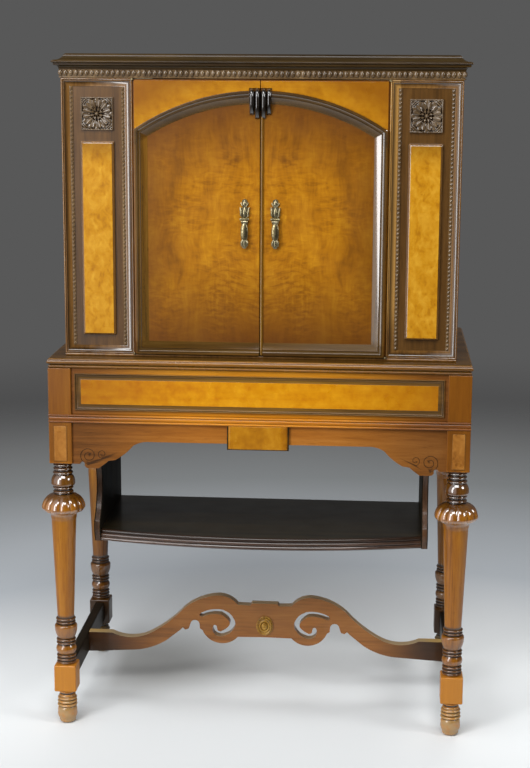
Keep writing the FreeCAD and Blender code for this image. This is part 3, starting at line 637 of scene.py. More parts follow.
def door_veneer():
    finish = new_finish("door_veneer")
    tree = finish.node_tree
    place = own_place(tree)
    across = from_middle(tree, place)
    height = axis(tree, place, "Z")
    matched = add_node(tree, "CombineXYZ", {"X": across, "Z": height}).outputs[0]
    wandering = stirred(tree, matched, 7, 2, 0.05)
    ripple = noise(tree, scaled(tree, wandering, (0.32, 1, 1)), 125, 4, 0.55, 0.6)
    fibre = noise(tree, scaled(tree, wandering, (1, 1, 0.1)), 210, 4)
    cloud = noise(tree, scaled(tree, wandering, (1, 1, 0.45)), 24, 4, 0.55)
    patches = spread(tree, noise(tree, matched, 9, 2), 0.38, 0.6, 0.2, 0.75)
    rippled = times(tree, patches, spread(tree, height, 1.3, 0.95, 0.6, 1.0))
    figure = mixed(tree, 0.2, mixed(tree, rippled, cloud, ripple), fibre)
    crown = (ARCH_RADIUS - MOULDING_WIDTH) * MM
    # Below the arch the border tone is toning and also a painted shadow of the moulding.
    top = spread(tree, from_arch(tree, place), crown - TOP_SHADE, crown, 0.0, 0.85, "LINEAR")
    side = spread(tree, across, ARCH_HALF_WIDTH - SIDE_SHADE, ARCH_HALF_WIDTH, 0.0, 0.65)
    foot = spread(tree, height, PANEL_FOOT + FOOT_SHADE, PANEL_FOOT, 0.0, 0.85, "LINEAR")
    border = larger(tree, larger(tree, side, foot), top)
    colour = blend(tree, border, figured(tree, figure, VENEER_TONES), BORDER_TONE)
    lacquer(tree, rubbed(tree, colour, 0.6, 0.3), ripple, 0.3, 0.2)
    return finish


def cove_finish():
    """Upright grain on the stiles, and level grain on the foot and the arch, both toned darker; on the arch
    the dark is painted shade.
    """
    finish = new_finish("cove_walnut")
    tree = finish.node_tree
    place, upright, streaks = stained(tree, "z", COVE_TONES)
    level = stained(tree, "x", COVE_TONES)[1]
    arch = spread(tree, from_arch(tree, place), ARCH_RADIUS * MM - 0.032, ARCH_RADIUS * MM - 0.022)
    foot = spread(tree, axis(tree, place, "Z"), PANEL_FOOT + 0.002, PANEL_FOOT - 0.002)
    lying = larger(tree, arch, foot)
    # A darker tone lies over the arch and the foot; over the arch it is painted shade.
    colour = blend(tree, times(tree, lying, 0.4), blend(tree, lying, upright, level), GLAZE_AND_SHADE)
    lacquer(tree, rubbed(tree, colour, 0.75, 0.7), streaks, 0.2, 1.0, build=2.0)
    polish(finish, (0.850, 0.15), (0.865, 1.0))
    return finish


door_finish = door_veneer()
cove_wood = cove_finish()
print("door veneer, matched about the meeting line")

# %% [markdown]
# The pale veneers on the frieze, the corners above the arch and the apron tab are plain maple under
# golden lacquer, brightest in the middle. The pilaster panels are a burl: small swirling eyes, which
# cells of Voronoi noise give when their coordinates are first stirred by another noise.

# %% Pale and burl veneers
MAPLE_RIM = tone(124, 74, 12)
MAPLE_CORNER = tone(124, 72, 6)
BURL_HEAD = tone(72, 44, 10)
BURL_FIGURE = (0.22, 0.45, 0.7)


def maple(name, along, reach, tones, arched=False):
    """Golden maple that darkens from the cabinet's middle out to reach, in metres, or up from the arch."""
    finish = new_finish(name)
    tree = finish.node_tree
    place, bands, streaks = grain(tree, along)[:3]
    figure = mixed(tree, 0.5, bands, noise(tree, place, 60, 3))
    rim = spread(tree, from_middle(tree, place), reach * 0.25, reach, 0.0, 0.6)
    colour = blend(tree, rim, figured(tree, figure, tones), MAPLE_RIM)
    if arched:
        crown = ARCH_RADIUS * MM
        above = spread(tree, from_arch(tree, place), crown, crown + 0.05, 0.0, 0.75, "LINEAR")
        colour = blend(tree, above, colour, MAPLE_CORNER)
    lacquer(tree, rubbed(tree, colour, 0.5, 0.3), streaks, 0.27, 0.25)
    return finish


def burl(name, tones, head=None):
    """Burl veneer with dark eyes. It is shaded towards its head, a height in metres, if it has one."""
    finish = new_finish(name)
    tree = finish.node_tree
    place = own_place(tree)
    tall = scaled(tree, stirred(tree, place, 34, 3, 0.03), (1, 1, 0.6))
    cells = add_node(tree, "TexVoronoi", {"Vector": tall, "Scale": 120}).outputs["Distance"]
    swirl = noise(tree, tall, 55, 5, 0.55)
    colour = figured(tree, mixed(tree, 0.18, swirl, cells), tones, BURL_FIGURE)
    eyes = spread(tree, cells, 0.14, 0.05, 0.0, 0.35)
    colour = blend(tree, eyes, colour, tone(*tones[0]))
    if head:
        near_head = spread(tree, axis(tree, place, "Z"), head - 0.06, head, 0.0, 0.5)
        colour = blend(tree, near_head, colour, BURL_HEAD)
    lacquer(tree, rubbed(tree, colour, 0.6, 0.3), swirl, 0.26, 0.2)
    return finish


frieze_finish = maple("frieze_maple", "x", 0.42, ((176, 104, 3), (197, 131, 6), (214, 152, 22)))
corner_finish = maple("corner_maple", "x", 0.5, ((150, 94, 5), (178, 119, 10), (194, 139, 24)), arched=True)
tab_finish = maple("tab_maple", "z", 0.16, ((142, 86, 6), (170, 111, 12), (190, 134, 30)))
burl_finish = burl("pilaster_burl", ((144, 90, 10), (182, 126, 20), (202, 150, 44)), head=1.275)
post_finish = burl("post_burl", ((104, 62, 20), (146, 96, 40), (168, 116, 56)))
boss_finish = burl("boss_wood", ((84, 54, 12), (150, 106, 32), (196, 152, 66)))
print("maple and burl veneers")

# %% [markdown]
# ## Antique brass
# The pulls and hinges are cast brass gone brown. Metal takes its colour from its reflection, so the base
# colour is the brass itself. Tarnish is noise that dulls it, hollows stay dark, and crests are rubbed
# bright.

# %% Antique brass
BRASS_TONES = ((96, 86, 60), (158, 146, 110), (188, 178, 142))
BRASS_FIGURE = (0.3, 0.6, 0.8)
TARNISH = tone(44, 36, 20)
BRIGHT_BRASS = tone(214, 206, 176)


def antique_brass():
    finish = new_finish("antique_brass")
    tree = finish.node_tree
    patch = noise(tree, own_place(tree), 220, 4)
    bend = add_node(tree, "NewGeometry").outputs["Pointiness"]
    colour = figured(tree, patch, BRASS_TONES, BRASS_FIGURE)
    colour = blend(tree, spread(tree, bend, 0.49, 0.42, 0.0, 0.9), colour, TARNISH)
    colour = blend(tree, spread(tree, bend, 0.53, 0.62, 0.0, 0.7), colour, BRIGHT_BRASS)
    pits = add_node(tree, "Bump", {"Strength": 0.2, "Distance": 0.0004, "Height": patch}).outputs["Normal"]
    surface(tree, {"Base Color": colour, "Metallic": 1.0, "Normal": pits,
                   "Roughness": spread(tree, patch, 0.3, 0.7, 0.44, 0.26)})
    return finish


brass = antique_brass()

# %% [markdown]
# ## Turning a mesh into a piece
# Shapes are drawn in millimetres, as on a shop drawing, and scaled to metres once, here. The function
# also smooths the shading, gives the finish, and says which solids the piece stands for and which body
# carries it. Where a wide flat meets a small round, smooth shading would bend the flat's reflections, so
# corner normals are weighed by area.

# %% Piece helper
SIDES = (("left", -1), ("right", 1))


def bake(piece):
    """Makes the modifiers of a piece part of its mesh, with normals that keep flats flat."""
    piece.modifiers.new("normals", "WEIGHTED_NORMAL").keep_sharp = True
    bpy.context.view_layer.update()
    drawn = piece.data
    shown = piece.evaluated_get(bpy.context.evaluated_depsgraph_get())
    piece.data = bpy.data.meshes.new_from_object(shown)
    piece.modifiers.clear()
    bpy.data.meshes.remove(drawn)
    piece.data.name = piece.name


def to_mesh(name, bm):
    """The mesh of a drawing in millimetres."""
    bmesh.ops.recalc_face_normals(bm, faces=bm.faces)
    bmesh.ops.scale(bm, vec=(MM, MM, MM), verts=bm.verts)
    mesh = bpy.data.meshes.new(name)
    bm.to_mesh(mesh)
    bm.free()
    return mesh


def finish_piece(name, bm, finish, *stands_for, body=None, smooth=38):
    """Makes the object from a drawing. Its body is that of the first solid it stands for."""
    mesh = to_mesh(name, bm)
    mesh.materials.append(finish)
    mesh.shade_smooth()
    mesh.set_sharp_from_angle(angle=math.radians(smooth))
    made = bpy.data.objects.new(name, mesh)
    bpy.context.scene.collection.objects.link(made)
    bake(made)
    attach(made, body or nodes[stands_for[0]]["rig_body"])
    if stands_for:
        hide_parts(*stands_for)
    return made


def box_of(node):
    """Lowest and highest corner of a solid, in millimetres."""
    low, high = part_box(node)
    return low / MM, high / MM


def size_of(piece):
    """Width, depth and height of a piece in whole millimetres."""
    return [round(x / MM) for x in piece.dimensions]


low, high = box_of("cornice_top")
print("the case is", [round(x) for x in high - low], "mm across its top board")

# %% [markdown]
# ## Softened boards
# No edge of real furniture is a knife edge: planing, polish and years of hands round it, and that thin
# round is what catches the light. For boards whose shape the frame already has, this copies the solid,
# joins the loose triangles into whole faces, and bevels every hard edge.

# %% Softened boards
HARD_EDGE = math.radians(28)
FLAT_ENOUGH = math.radians(0.6)
SAME_POINT = 0.01


def copy_solid(node):
    """The faces of a solid as a drawing in millimetres."""
    bm = bmesh.new()
    source = nodes[node].data
    points = [bm.verts.new(vertex.co / MM) for vertex in source.vertices]
    for face in source.polygons:
        bm.faces.new([points[index] for index in face.vertices])
    bmesh.ops.remove_doubles(bm, verts=bm.verts, dist=SAME_POINT)
    bmesh.ops.dissolve_limit(bm, angle_limit=FLAT_ENOUGH, verts=bm.verts, edges=bm.edges)
    return bm


def soften(bm, width, steps=3):
    """Rounds every hard edge of a drawing."""
    pairs = [edge for edge in bm.edges if len(edge.link_faces) == 2]
    hard = [edge for edge in pairs if edge.calc_face_angle() > HARD_EDGE]
    bmesh.ops.bevel(bm, geom=hard, offset=width, segments=steps, profile=0.5, affect="EDGES",
                    clamp_overlap=True)


def dress(node, finish, width=1.2):
    """A softened copy that stands for one solid."""
    bm = copy_solid(node)
    soften(bm, width)
    return finish_piece(node + "_finished", bm, finish, node)


BOARDS = {
    "frieze_rail": rail_wood, "rear_rail": rail_wood, "left_side_rail": side_rail_wood,
    "right_side_rail": side_rail_wood, "left_side_stretcher": side_stretcher_wood,
    "right_side_stretcher": side_stretcher_wood, "corner_blocks": inside_wood, "left_side_panel": side_wood,
    "right_side_panel": side_wood, "back_panel": inside_upright, "floor_board": inside_wood,
    "head_rail": dark_wood, "door_stop": inside_wood, "inner_shelf": inside_wood,
    "shelf_cleats": inside_wood,
}
for board, board_finish in BOARDS.items():
    dress(board, board_finish)
print(len(BOARDS), "boards softened")

# %% [markdown]
# ## Drawing tools
# A few small tools draw the rest. A curve gives the points of an outline whose stretches may swell or
# dip. A loft joins rings of points, for forms that are neither turned nor straight. A lathe turns an
# outline, as the wood turner does, and is a loft through circles.

# %% Curve, loft and lathe
def evenly(start, end, count):
    """Numbers from start to end in equal steps."""
    return [start + (end - start) * index / count for index in range(count + 1)]


def turns(sides):
    """Angles once round."""
    return [2 * math.pi * index / sides for index in range(sides)]


def curve(*cuts, steps=7):
    """Points of an outline. A cut is a point, or a point and how far the way there swells to its left."""
    points = [Vector(cuts[0][:2])]
    for cut in cuts[1:]:
        start = points[-1]
        chord = Vector(cut[:2]) - start
        swell = Vector((-chord.y, chord.x)) * (4 * cut[2] if len(cut) > 2 else 0)
        count = steps if len(cut) > 2 else 1
        for index in range(1, count + 1):
            share = index / count
            points.append(start + chord * share + swell * share * (1 - share))
    return points


def loft(bm, rings, closed=False):
    """Joins rings of points with faces, and caps the ends."""
    rows = [[bm.verts.new(point) for point in ring] for ring in rings]
    for one, two in zip(rows, rows[1:] + rows[:1] if closed else rows[1:]):
        for index, corner in enumerate(one):
            after = (index + 1) % len(one)
            bm.faces.new((corner, one[after], two[after], two[index]))
    if not closed:
        bm.faces.new(rows[0])
        bm.faces.new(rows[-1])


def lathe(bm, outline, sides=48, shape=None):
    """Turns an outline of (radius, height); shape may change the radius round the turn."""
    rings = []
    for radius, height in outline:
        ring = []
        for turn in turns(sides):
            reach = shape(radius, height, turn) if shape else radius
            ring.append(Vector((reach * math.cos(turn), reach * math.sin(turn), height)))
        rings.append(ring)
    loft(bm, rings)


print("a curve of one swelling cut has", len(curve((0, 0), (1, 0, 0.5))), "points")

# %% [markdown]
# A sweep runs a moulding's section along a path and mitres the corners. At each corner the section is
# moved along the mitre, which is the middle way between the two lengths. Blocks and beads are the ready-
# made shapes that mouldings and carving are filled up with.

# %% Sweep, block and bead
def sweep(bm, path, section, place, closed=False):
    """Runs a section along a flat path. Its first number is the way out to the right of travel."""
    rings = []
    for index, point in enumerate(path):
        ways = []
        for start, end in ((index - 1, index), (index, index + 1)):
            if closed or 0 <= start and end < len(path):
                step = (Vector(path[end % len(path)]) - Vector(path[start])).normalized()
                ways.append(Vector((step.y, -step.x)))
        mitre = (ways[0] + ways[-1]).normalized()
        mitre /= mitre.dot(ways[0])
        rings.append([place(Vector(point) + mitre * out, rise) for out, rise in section])
    loft(bm, rings, closed)


def on_front(depth):
    """Places a flat (x, z) point on the upright plane at depth; a rise comes forward."""
    return lambda point, rise: Vector((point.x, depth - rise, point.y))


def on_plan(point, rise):
    """Places a flat (x, y) point; a rise goes up."""
    return Vector((point.x, point.y, rise))


def rectangle(low_x, high_x, low_y, high_y):
    """Corners in the order that puts outside to the right of travel."""
    return [(low_x, low_y), (high_x, low_y), (high_x, high_y), (low_x, high_y)]


def right_of(path, index):
    """The way to the right of travel at a point of a flat path."""
    step = (path[min(index + 1, len(path) - 1)] - path[max(index - 1, 0)]).normalized()
    return Vector((step.y, -step.x))


def add_box(bm, low, high, width=1.0, steps=2):
    """Adds a softened block."""
    block = bmesh.new()
    middle = (Vector(low) + Vector(high)) / 2
    size = Vector(high) - Vector(low)
    bmesh.ops.create_cube(block, size=1, matrix=Matrix.Translation(middle) @ Matrix.Diagonal((*size, 1)))
    bmesh.ops.bevel(block, geom=block.edges[:], offset=width, segments=steps, profile=0.5, affect="EDGES")
    joined = bpy.data.meshes.new("block")
    block.to_mesh(joined)
    block.free()
    bm.from_mesh(joined)
    bpy.data.meshes.remove(joined)


def add_bead(bm, centre, size, sides=10, rings=6):
    """Adds a ball squashed to a size along each axis."""
    shape = Matrix.Translation(Vector(centre)) @ Matrix.Diagonal((*size, 1))
    bmesh.ops.create_uvsphere(bm, u_segments=sides, v_segments=rings, radius=0.5, matrix=shape)


def swept_piece(name, path, section, place, finish, *stands_for, closed=False):
    """A piece that is one section swept along a path."""
    bm = bmesh.new()
    sweep(bm, path, section, place, closed)
    return finish_piece(name, bm, finish, *stands_for)


def block_piece(name, low, high, width, finish, *stands_for, body=None):
    """A piece that is one softened block."""
    bm = bmesh.new()
    add_box(bm, low, high, width)
    return finish_piece(name, bm, finish, *stands_for, body=body)


print("curve, loft, lathe, sweep, block and bead are ready")

# %% [markdown]
# ## Turned legs
# Each leg is one length of timber: a square post, a turned vase and melon bulb, a tapered shaft, a square
# block where the stretchers enter, and a bun foot. The turner works from an outline, so the lathe does
# too. The bulb is then carved into gadroons, twelve lobes with narrow valleys, by changing the radius
# round the turn. The valleys fade at both ends of the bulb. All four legs share one mesh, as they came
# off one lathe.

# %% Turned legs
LEGS = ("front_left_leg", "front_right_leg", "rear_left_leg", "rear_right_leg")
POST_HALF_DEPTH = 22.5
POST_HALF_WIDTH = 24.4
POST_FOOT = 592.0
POST_TOP = box_of(LEGS[0])[1].z
BLOCK_HALF = 24.0
BLOCK_TOP = 136.5
BLOCK_FOOT = 76.5
BULB_TOP = 521.5
BULB_FOOT = 483.0
GADROONS = 12
VALLEY = 3.4
TURNED_SIDES = 96


def gadrooned(radius, height, turn):
    """Cuts narrow valleys into the bulb, deepest at its middle."""
    if not BULB_FOOT < height < BULB_TOP:
        return radius
    share = (BULB_TOP - height) / (BULB_TOP - BULB_FOOT)
    lobe = abs(math.sin(turn * GADROONS / 2)) ** 0.5
    return radius - VALLEY * math.sin(math.pi * share) ** 0.6 * (1 - lobe)


def leg_outline():
    """From the post down to the block, in cuts of the turner's gouge."""
    vase = ((17, POST_FOOT + 1), (17, 590), (17, 582.6, 0.5), (16.4, 582), (17, 581.3), (17, 573.8, 0.5),
            (16.8, 573.2), (18.6, 571.8), (18.6, 565, 0.45), (19, 564.4), (25.6, 547, 0.1), (20, 540, 0.3),
            (18.6, 539.4), (18.6, 532.6, 0.5), (17.6, 531.8), (17.6, 530.6), (18.4, 530), (18.4, 523, 0.5),
            (18.6, 522.4))
    bulb = ((20.5, BULB_TOP), (46.6, 495, 0.17), (45, 488.5, 0.12), (37, 484, 0.16), (35.4, BULB_FOOT),
            (28, 470, -0.16), (26.4, 463, -0.03))
    shaft = ((26, 452), (18.6, 258), (18.2, 248), (18, 243), (18, 236, 0.5), (18, 235.2), (18, 229, 0.5),
             (18, 228), (24.4, 220, 0.26), (18.4, 196.5, 0.06))
    rings = ((18, 195.5), (18, 189, 0.5), (18, 188.3), (18, 182, 0.5), (18, 181), (18, 160, 0.2), (18, 159),
             (18, 152.5, 0.5), (18, 151.8), (18, 145.3, 0.5), (18, 144.6), (18, 138.2, 0.5),
             (18, BLOCK_TOP - 1))
    return curve(*vase, *bulb, *shaft, *rings)


def foot_outline():
    """From the block down to the floor, with three hoops round the bun."""
    neck = ((17, BLOCK_FOOT + 1), (17, 75.5), (17, 70, 0.5), (15.6, 69), (15.2, 66.5), (18.4, 61.6, 0.15))
    hoops = ((17.8, 60.8), (18.2, 60.2), (18.2, 53.6, 0.45), (17.8, 53), (18.6, 52.4), (18.6, 45.8, 0.45),
             (18.2, 45.2), (19, 44.6), (19, 38, 0.45))
    bun = ((18.4, 37.4), (19.4, 36.4), (21, 26, 0.08), (18.2, 10, 0.1), (10.5, 0, 0.22))
    return curve(*neck, *hoops, *bun)


def make_legs():
    bm = bmesh.new()
    add_box(bm, (-POST_HALF_WIDTH, -POST_HALF_DEPTH, POST_FOOT),
            (POST_HALF_WIDTH, POST_HALF_DEPTH, POST_TOP), 1.4, 3)
    lathe(bm, leg_outline(), TURNED_SIDES, gadrooned)
    add_box(bm, (-BLOCK_HALF, -BLOCK_HALF, BLOCK_FOOT), (BLOCK_HALF, BLOCK_HALF, BLOCK_TOP), 2.6, 3)
    lathe(bm, foot_outline())
    first = finish_piece("front_left_leg_turned", bm, leg_wood, "front_left_leg")
    for name in LEGS:
        middle = (box_of(name)[0] + box_of(name)[1]) / 2
        leg = first if name == "front_left_leg" else bpy.data.objects.new(name + "_turned", first.data)
        leg.location = (middle.x * MM, middle.y * MM, 0)
        if leg is not first:
            bpy.context.scene.collection.objects.link(leg)
            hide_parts(name)
        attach(leg, "cabinet")
    return first


turned_leg = make_legs()
print("four legs of", len(turned_leg.data.vertices), "points each")

# %% [markdown]
# ## Table top
# The edge of the top is moulded: a rounded nose above, a quirk, and a small bead below it. The section is
# swept round all four sides, which gives mitred corners. The edge is toned lighter than the board, so it
# is a piece of its own that the board fills.

# %% Table top
BORDER = 12.0
BOARD_INSET = 4.5


def make_table_top():
    low, high = box_of("table_top")
    top, foot = high.z, low.z
    section = curve((-BORDER, top - 0.4), (-6, top - 0.2), (-1.2, top - 3.4, 0.14), (-2, top - 4),
                    (-2, top - 4.6), (-0.9, top - 4.8), (-2.4, foot + 9, 0.3), (-5, foot + 8.6),
                    (-5, foot + 7.6), (-4.5, foot + 7.2), (-4.5, foot + 1, 0.45), (-5.5, foot + 0.4),
                    (-6, foot), (-BORDER, foot))
    path = rectangle(low.x, high.x, low.y, high.y)
    edge = swept_piece("table_top_edge", path, section, on_plan, top_edge_wood, "table_top", closed=True)
    inset = Vector((BOARD_INSET, BOARD_INSET, 0))
    block_piece("table_top_board", low + inset + Vector((0, 0, 1)), high - inset, 0.6, top_wood, "table_top")
    return edge


print("table top", size_of(make_table_top()), "mm")

# %% [markdown]
# ## Frieze and waist
# The frieze is a pale veneered field in a planted frame: a dark hollow with a bright bead outside it. The
# frame's section is swept round the field, which mitres its corners. The waist below is a reeded moulding
# that runs round three sides and breaks the height of the stand.

# %% Frieze and waist
HOLLOW_AND_BEAD = curve((0, -0.4), (0, 1.2), (1, 0.8), (9.2, 2.2, -0.12), (9.5, 1.6), (10.3, 1.6),
                        (10.5, 2.6), (13.5, 2.4, 0.42), (13.5, -0.4))
WAIST_PROUD = 3.0

frieze = dress("frieze_panel", frieze_finish, 0.5)
low, high = box_of("frieze_panel")
swept_piece("frieze_frame", rectangle(low.x, high.x, low.z, high.z), HOLLOW_AND_BEAD, on_front(high.y),
            band_wood, "frieze_banding", closed=True)


def make_waist():
    low, high = box_of("waist_moulding")
    half, front, back = high.x - WAIST_PROUD, low.y + WAIST_PROUD, high.y
    top, foot = high.z, low.z
    section = curve((-5.5, top), (0.4, top), (0.4, top - 4.6, 0.42), (-0.4, top - 4.9), (-0.4, top - 5.6),
                    (0.3, top - 5.8), (0.3, foot + 5.8, 0.2), (-0.4, foot + 5.6), (-0.4, foot + 4.9),
                    (0.4, foot + 4.6), (0.4, foot, 0.42), (-5.5, foot))
    path = [(-half, back), (-half, front), (half, front), (half, back)]
    swept_piece("waist_reeds", path, section, on_plan, rail_wood, "waist_moulding")


make_waist()
print("frieze field", size_of(frieze), "mm")

# %% [markdown]
# ## Apron, tab and post panels
# The apron is a sawn board with scalloped brackets. Each bracket carries two scratched scrolls, so a thin
# round line is run along a spiral and cut out of the board with a Boolean modifier. The tab in the middle
# and the small panels on the posts are applied veneers.

# %% Apron, tab and post panels
# A scroll is its middle across and up, its outer and inner radius, its turns and the gouge's radius.
SCROLLS = ((362.0, 610.0, 19, 5, 1.6, 1.3), (332.0, 614.0, 10, 3, 1.2, 1.2))
SCROLL_STEPS = 40
SCRATCH_DEPTH = 0.7
POST_PANEL_WIDTH = 26
POST_LINE = [(0, -0.4), (0, 1.1), (1.2, 1.1), (1.2, -0.4)]


def spiral(side, across, up, start, end, rounds):
    """Points of a spiral on the front, from radius start in to end."""
    points = []
    for index, radius in enumerate(evenly(start, end, SCROLL_STEPS)):
        turn = -math.pi / 2 + 2 * math.pi * rounds * index / SCROLL_STEPS
        points.append(Vector((side * (across + radius * math.cos(turn)), up + radius * math.sin(turn))))
    return points


def tube(bm, path, depth, radius, sides=6):
    """A round line along flat points on the front."""
    rings = []
    for index, point in enumerate(path):
        ring = []
        for turn in turns(sides):
            spot = point + right_of(path, index) * radius * math.cos(turn)
            ring.append(Vector((spot.x, depth - radius * math.sin(turn), spot.y)))
        rings.append(ring)
    loft(bm, rings)


def carve(piece, cutter):
    """Cuts one drawing out of a finished piece, for good."""
    tool = bpy.data.objects.new("cutter", to_mesh("cutter", cutter))
    bpy.context.scene.collection.objects.link(tool)
    cut = piece.modifiers.new("carved", "BOOLEAN")
    cut.object = tool
    cut.solver = "EXACT"
    bake(piece)
    bpy.data.objects.remove(tool)


apron = dress("front_apron", apron_wood, 1.6)
apron_face = box_of("front_apron")[0].y
scratched = bmesh.new()
for _, side in SIDES:
    for *scroll, gouge in SCROLLS:
        tube(scratched, spiral(side, *scroll), apron_face - SCRATCH_DEPTH, gouge)
carve(apron, scratched)

dress("apron_tab", tab_finish, 1.5)
low, high = box_of("apron_tab")
# A dark block, a little larger than the tab, sits behind it as a painted shadow round the tab's edges.
block_piece("apron_tab_backing", low + Vector((-2.4, 3, -1.8)), high + Vector((2.4, 0, -0.5)), 0.6,
            dark_wood, "apron_tab")
dress("post_panels", post_finish, 0.6)
low, high = box_of("post_panels")
for name, side in SIDES:
    inner, outer = sorted((side * high.x, side * (high.x - POST_PANEL_WIDTH)))
    swept_piece(name + "_post_line", rectangle(inner, outer, low.z, high.z), POST_LINE, on_front(high.y),
                frame_wood, "post_panels", closed=True)
print("apron with", len(apron.data.vertices), "points after carving")

# %% [markdown]
# ## Scroll stretcher and its boss
# The pierced board between the side stretchers keeps its sawn outline, with its sharp corners eased. Its
# scroll slots are filed wider in the belly of each curl, with a cutter whose half width swells along the
# curl. The boss in the middle is a small turned and carved ornament, taller than wide, so it is turned
# about an axis that points at the viewer and stretched upright. Sixteen flutes run round its rim.

# %% Scroll stretcher and boss
CURL = curve((146, 180), (98, 188, -0.082), (100, 135, -0.47), (115, 152, -0.28), steps=12)
SLOT_HALF = 4.8
SLOT_SWELL = 1.6
CUT_DEPTH = 16
BOSS_RIM = 15
BOSS_FLUTES = 16
BOSS_WIDER = 0.96
BOSS_TALLER = 1.14


def curl_cutter(bm, side):
    """A bar along a curl, as wide as its slot."""
    rings = []
    for index, point in enumerate(CURL):
        swell = math.sin(math.pi * index / (len(CURL) - 1)) ** 0.6
        reach = right_of(CURL, index) * (SLOT_HALF + SLOT_SWELL * swell)
        corners = ((point + reach, -CUT_DEPTH), (point + reach, CUT_DEPTH), (point - reach, CUT_DEPTH),
                   (point - reach, -CUT_DEPTH))
        rings.append([Vector((side * spot.x, depth, spot.y)) for spot, depth in corners])
    loft(bm, rings)


def fluted(radius, height, turn):
    """Cuts flutes into the rim of the boss."""
    flute = 1 - abs(math.sin(BOSS_FLUTES / 2 * turn)) ** 0.6
    return radius - (0.9 * flute if radius > BOSS_RIM else 0)


def make_boss():
    low, high = box_of("stretcher_boss")
    outline = curve((4, 0), (20, 0), (20.5, 3), (17, 6.5, 0.3), (15.4, 5.4), (13.6, 5.4), (12.2, 6.6),
                    (9, 6.4, -0.3), (8, 5.8), (7.4, 5.8), (7, 9, 0.2), (4.4, 12, 0.2), (2.6, 12.4, 0.1),
                    (0.6, 9.4, -0.1))
    bm = bmesh.new()
    lathe(bm, outline, TURNED_SIDES, fluted)
    for vertex in bm.verts:
        across, up, out = vertex.co
        vertex.co = (across * BOSS_WIDER, high.y - out, (low.z + high.z) / 2 + up * BOSS_TALLER)
    return finish_piece("stretcher_boss_carved", bm, boss_finish, "stretcher_boss")


stretcher = dress("centre_stretcher", stretcher_wood, 2.2)
curls = bmesh.new()
for _, side in SIDES:
    curl_cutter(curls, side)
carve(stretcher, curls)
print("boss", size_of(make_boss()), "mm")

# %% [markdown]
# ## Hung shelf
# The shelf bows forward at the front, with three fine reeds worked along its edge. A board with a bowed
# front is a flat outline raised to its thickness; the reeds are a section swept along the same bow, so
# they cannot drift from it. Two boards, scooped at the front and level with the shelf's corners, hang it
# from the top. Their front edge wears a browner strip, which is a thin band lofted along the same
# outline.

# %% Hung shelf
SHELF_BOW = 46.0
SHELF_CORNER = -167.0
SHELF_BOARD = 15.0
SHELF_REEDS = 3
REED_BACK = -6
REED_FACE = -1.6
END_LIFT = 4
END_CHAMFER = 12


def make_shelf():
    low, high = box_of("hung_shelf")
    line = []
    for across in evenly(low.x, high.x, 36):
        share = across / high.x
        line.append(Vector((across, SHELF_CORNER - SHELF_BOW * (1 - share * share))))
    reed = (high.z - low.z) / SHELF_REEDS
    section = [(REED_BACK, high.z)]
    for index in range(SHELF_REEDS):
        top = high.z - index * reed
        section += curve((REED_FACE, top - 0.4), (REED_FACE, top - reed + 0.4, 0.3), steps=5)
    section.append((REED_BACK, low.z))
    swept_piece("hung_shelf_reeds", line, section, on_plan, shelf_edge_wood, "hung_shelf")
    outline = [point + Vector((0, 5.8)) for point in line]
    outline += [Vector((high.x, high.y)), Vector((low.x, high.y))]
    bm = bmesh.new()
    loft(bm, [[on_plan(point, level) for point in outline] for level in (high.z, high.z - SHELF_BOARD)])
    return finish_piece("hung_shelf_board", bm, shelf_wood, "hung_shelf")


def end_front(foot):
    """The front edge of an end board as (depth, height), from its foot up to the rail."""
    front = SHELF_CORNER
    return curve((front + 4, foot), (front - 5, foot + 18), (front - 4, foot + 48, 0.12),
                 (front + 8, 590, -0.22), (front + 2, 640), (front + 2, 690), steps=12)


def make_shelf_end(name, side):
    node = name + "_shelf_end"
    low, high = box_of(node)
    inner, outer = sorted((abs(low.x), abs(high.x)))
    foot, top, back = low.z + END_LIFT, high.z, high.y
    edge = end_front(foot)
    outline = edge + [Vector((edge[-1].x, top)), Vector((back, top)), Vector((back, foot + END_CHAMFER)),
                      Vector((back - END_CHAMFER, foot))]
    bm = bmesh.new()
    loft(bm, [[Vector((side * x, point.x, point.y)) for point in outline] for x in (inner, outer)])
    soften(bm, 1.2)
    finish_piece(node + "_finished", bm, shelf_end_wood, node)
    strip = ((inner + 1.6, -0.6), (inner + 2.2, 0.5), (outer - 2.2, 0.5), (outer - 1.6, -0.6))
    rings = []
    for index, point in enumerate(edge):
        ring = []
        for x, rise in strip:
            spot = point - right_of(edge, index) * rise
            ring.append(Vector((side * x, spot.x, spot.y)))
        rings.append(ring)
    bm = bmesh.new()
    loft(bm, rings)
    finish_piece(node + "_edge", bm, shelf_end_edge_wood, node)


print("shelf", size_of(make_shelf()), "mm")
for name, side in SIDES:
    make_shelf_end(name, side)

# %% [markdown]
# ## Cornice
# The cornice is built up from lengths of moulding: a fillet with a row of turned beads, a dark cove, and
# a top board with an ogee edge. Each is a section swept round three sides, so its mitres are true. The
# beads are separate balls half sunk in the fillet, because a row of beads cannot be swept.

# %% Cornice
CASE_HALF = box_of("head_rail")[1].x
CASE_FRONT = box_of("head_rail")[0].y
CASE_BACK = box_of("left_side_panel")[1].y
CASE_PATH = [(-CASE_HALF, CASE_BACK), (-CASE_HALF, CASE_FRONT), (CASE_HALF, CASE_FRONT),
             (CASE_HALF, CASE_BACK)]
BEAD_PITCH = 10.83
BEAD_RISE = 10.6
BEAD_PROUD = 2.2
BEAD_WIDE, BEAD_DEEP, BEAD_TALL = 9.4, 9.0, 13.6
FILLET_RISE = 1.5
TOP_INSET = 60


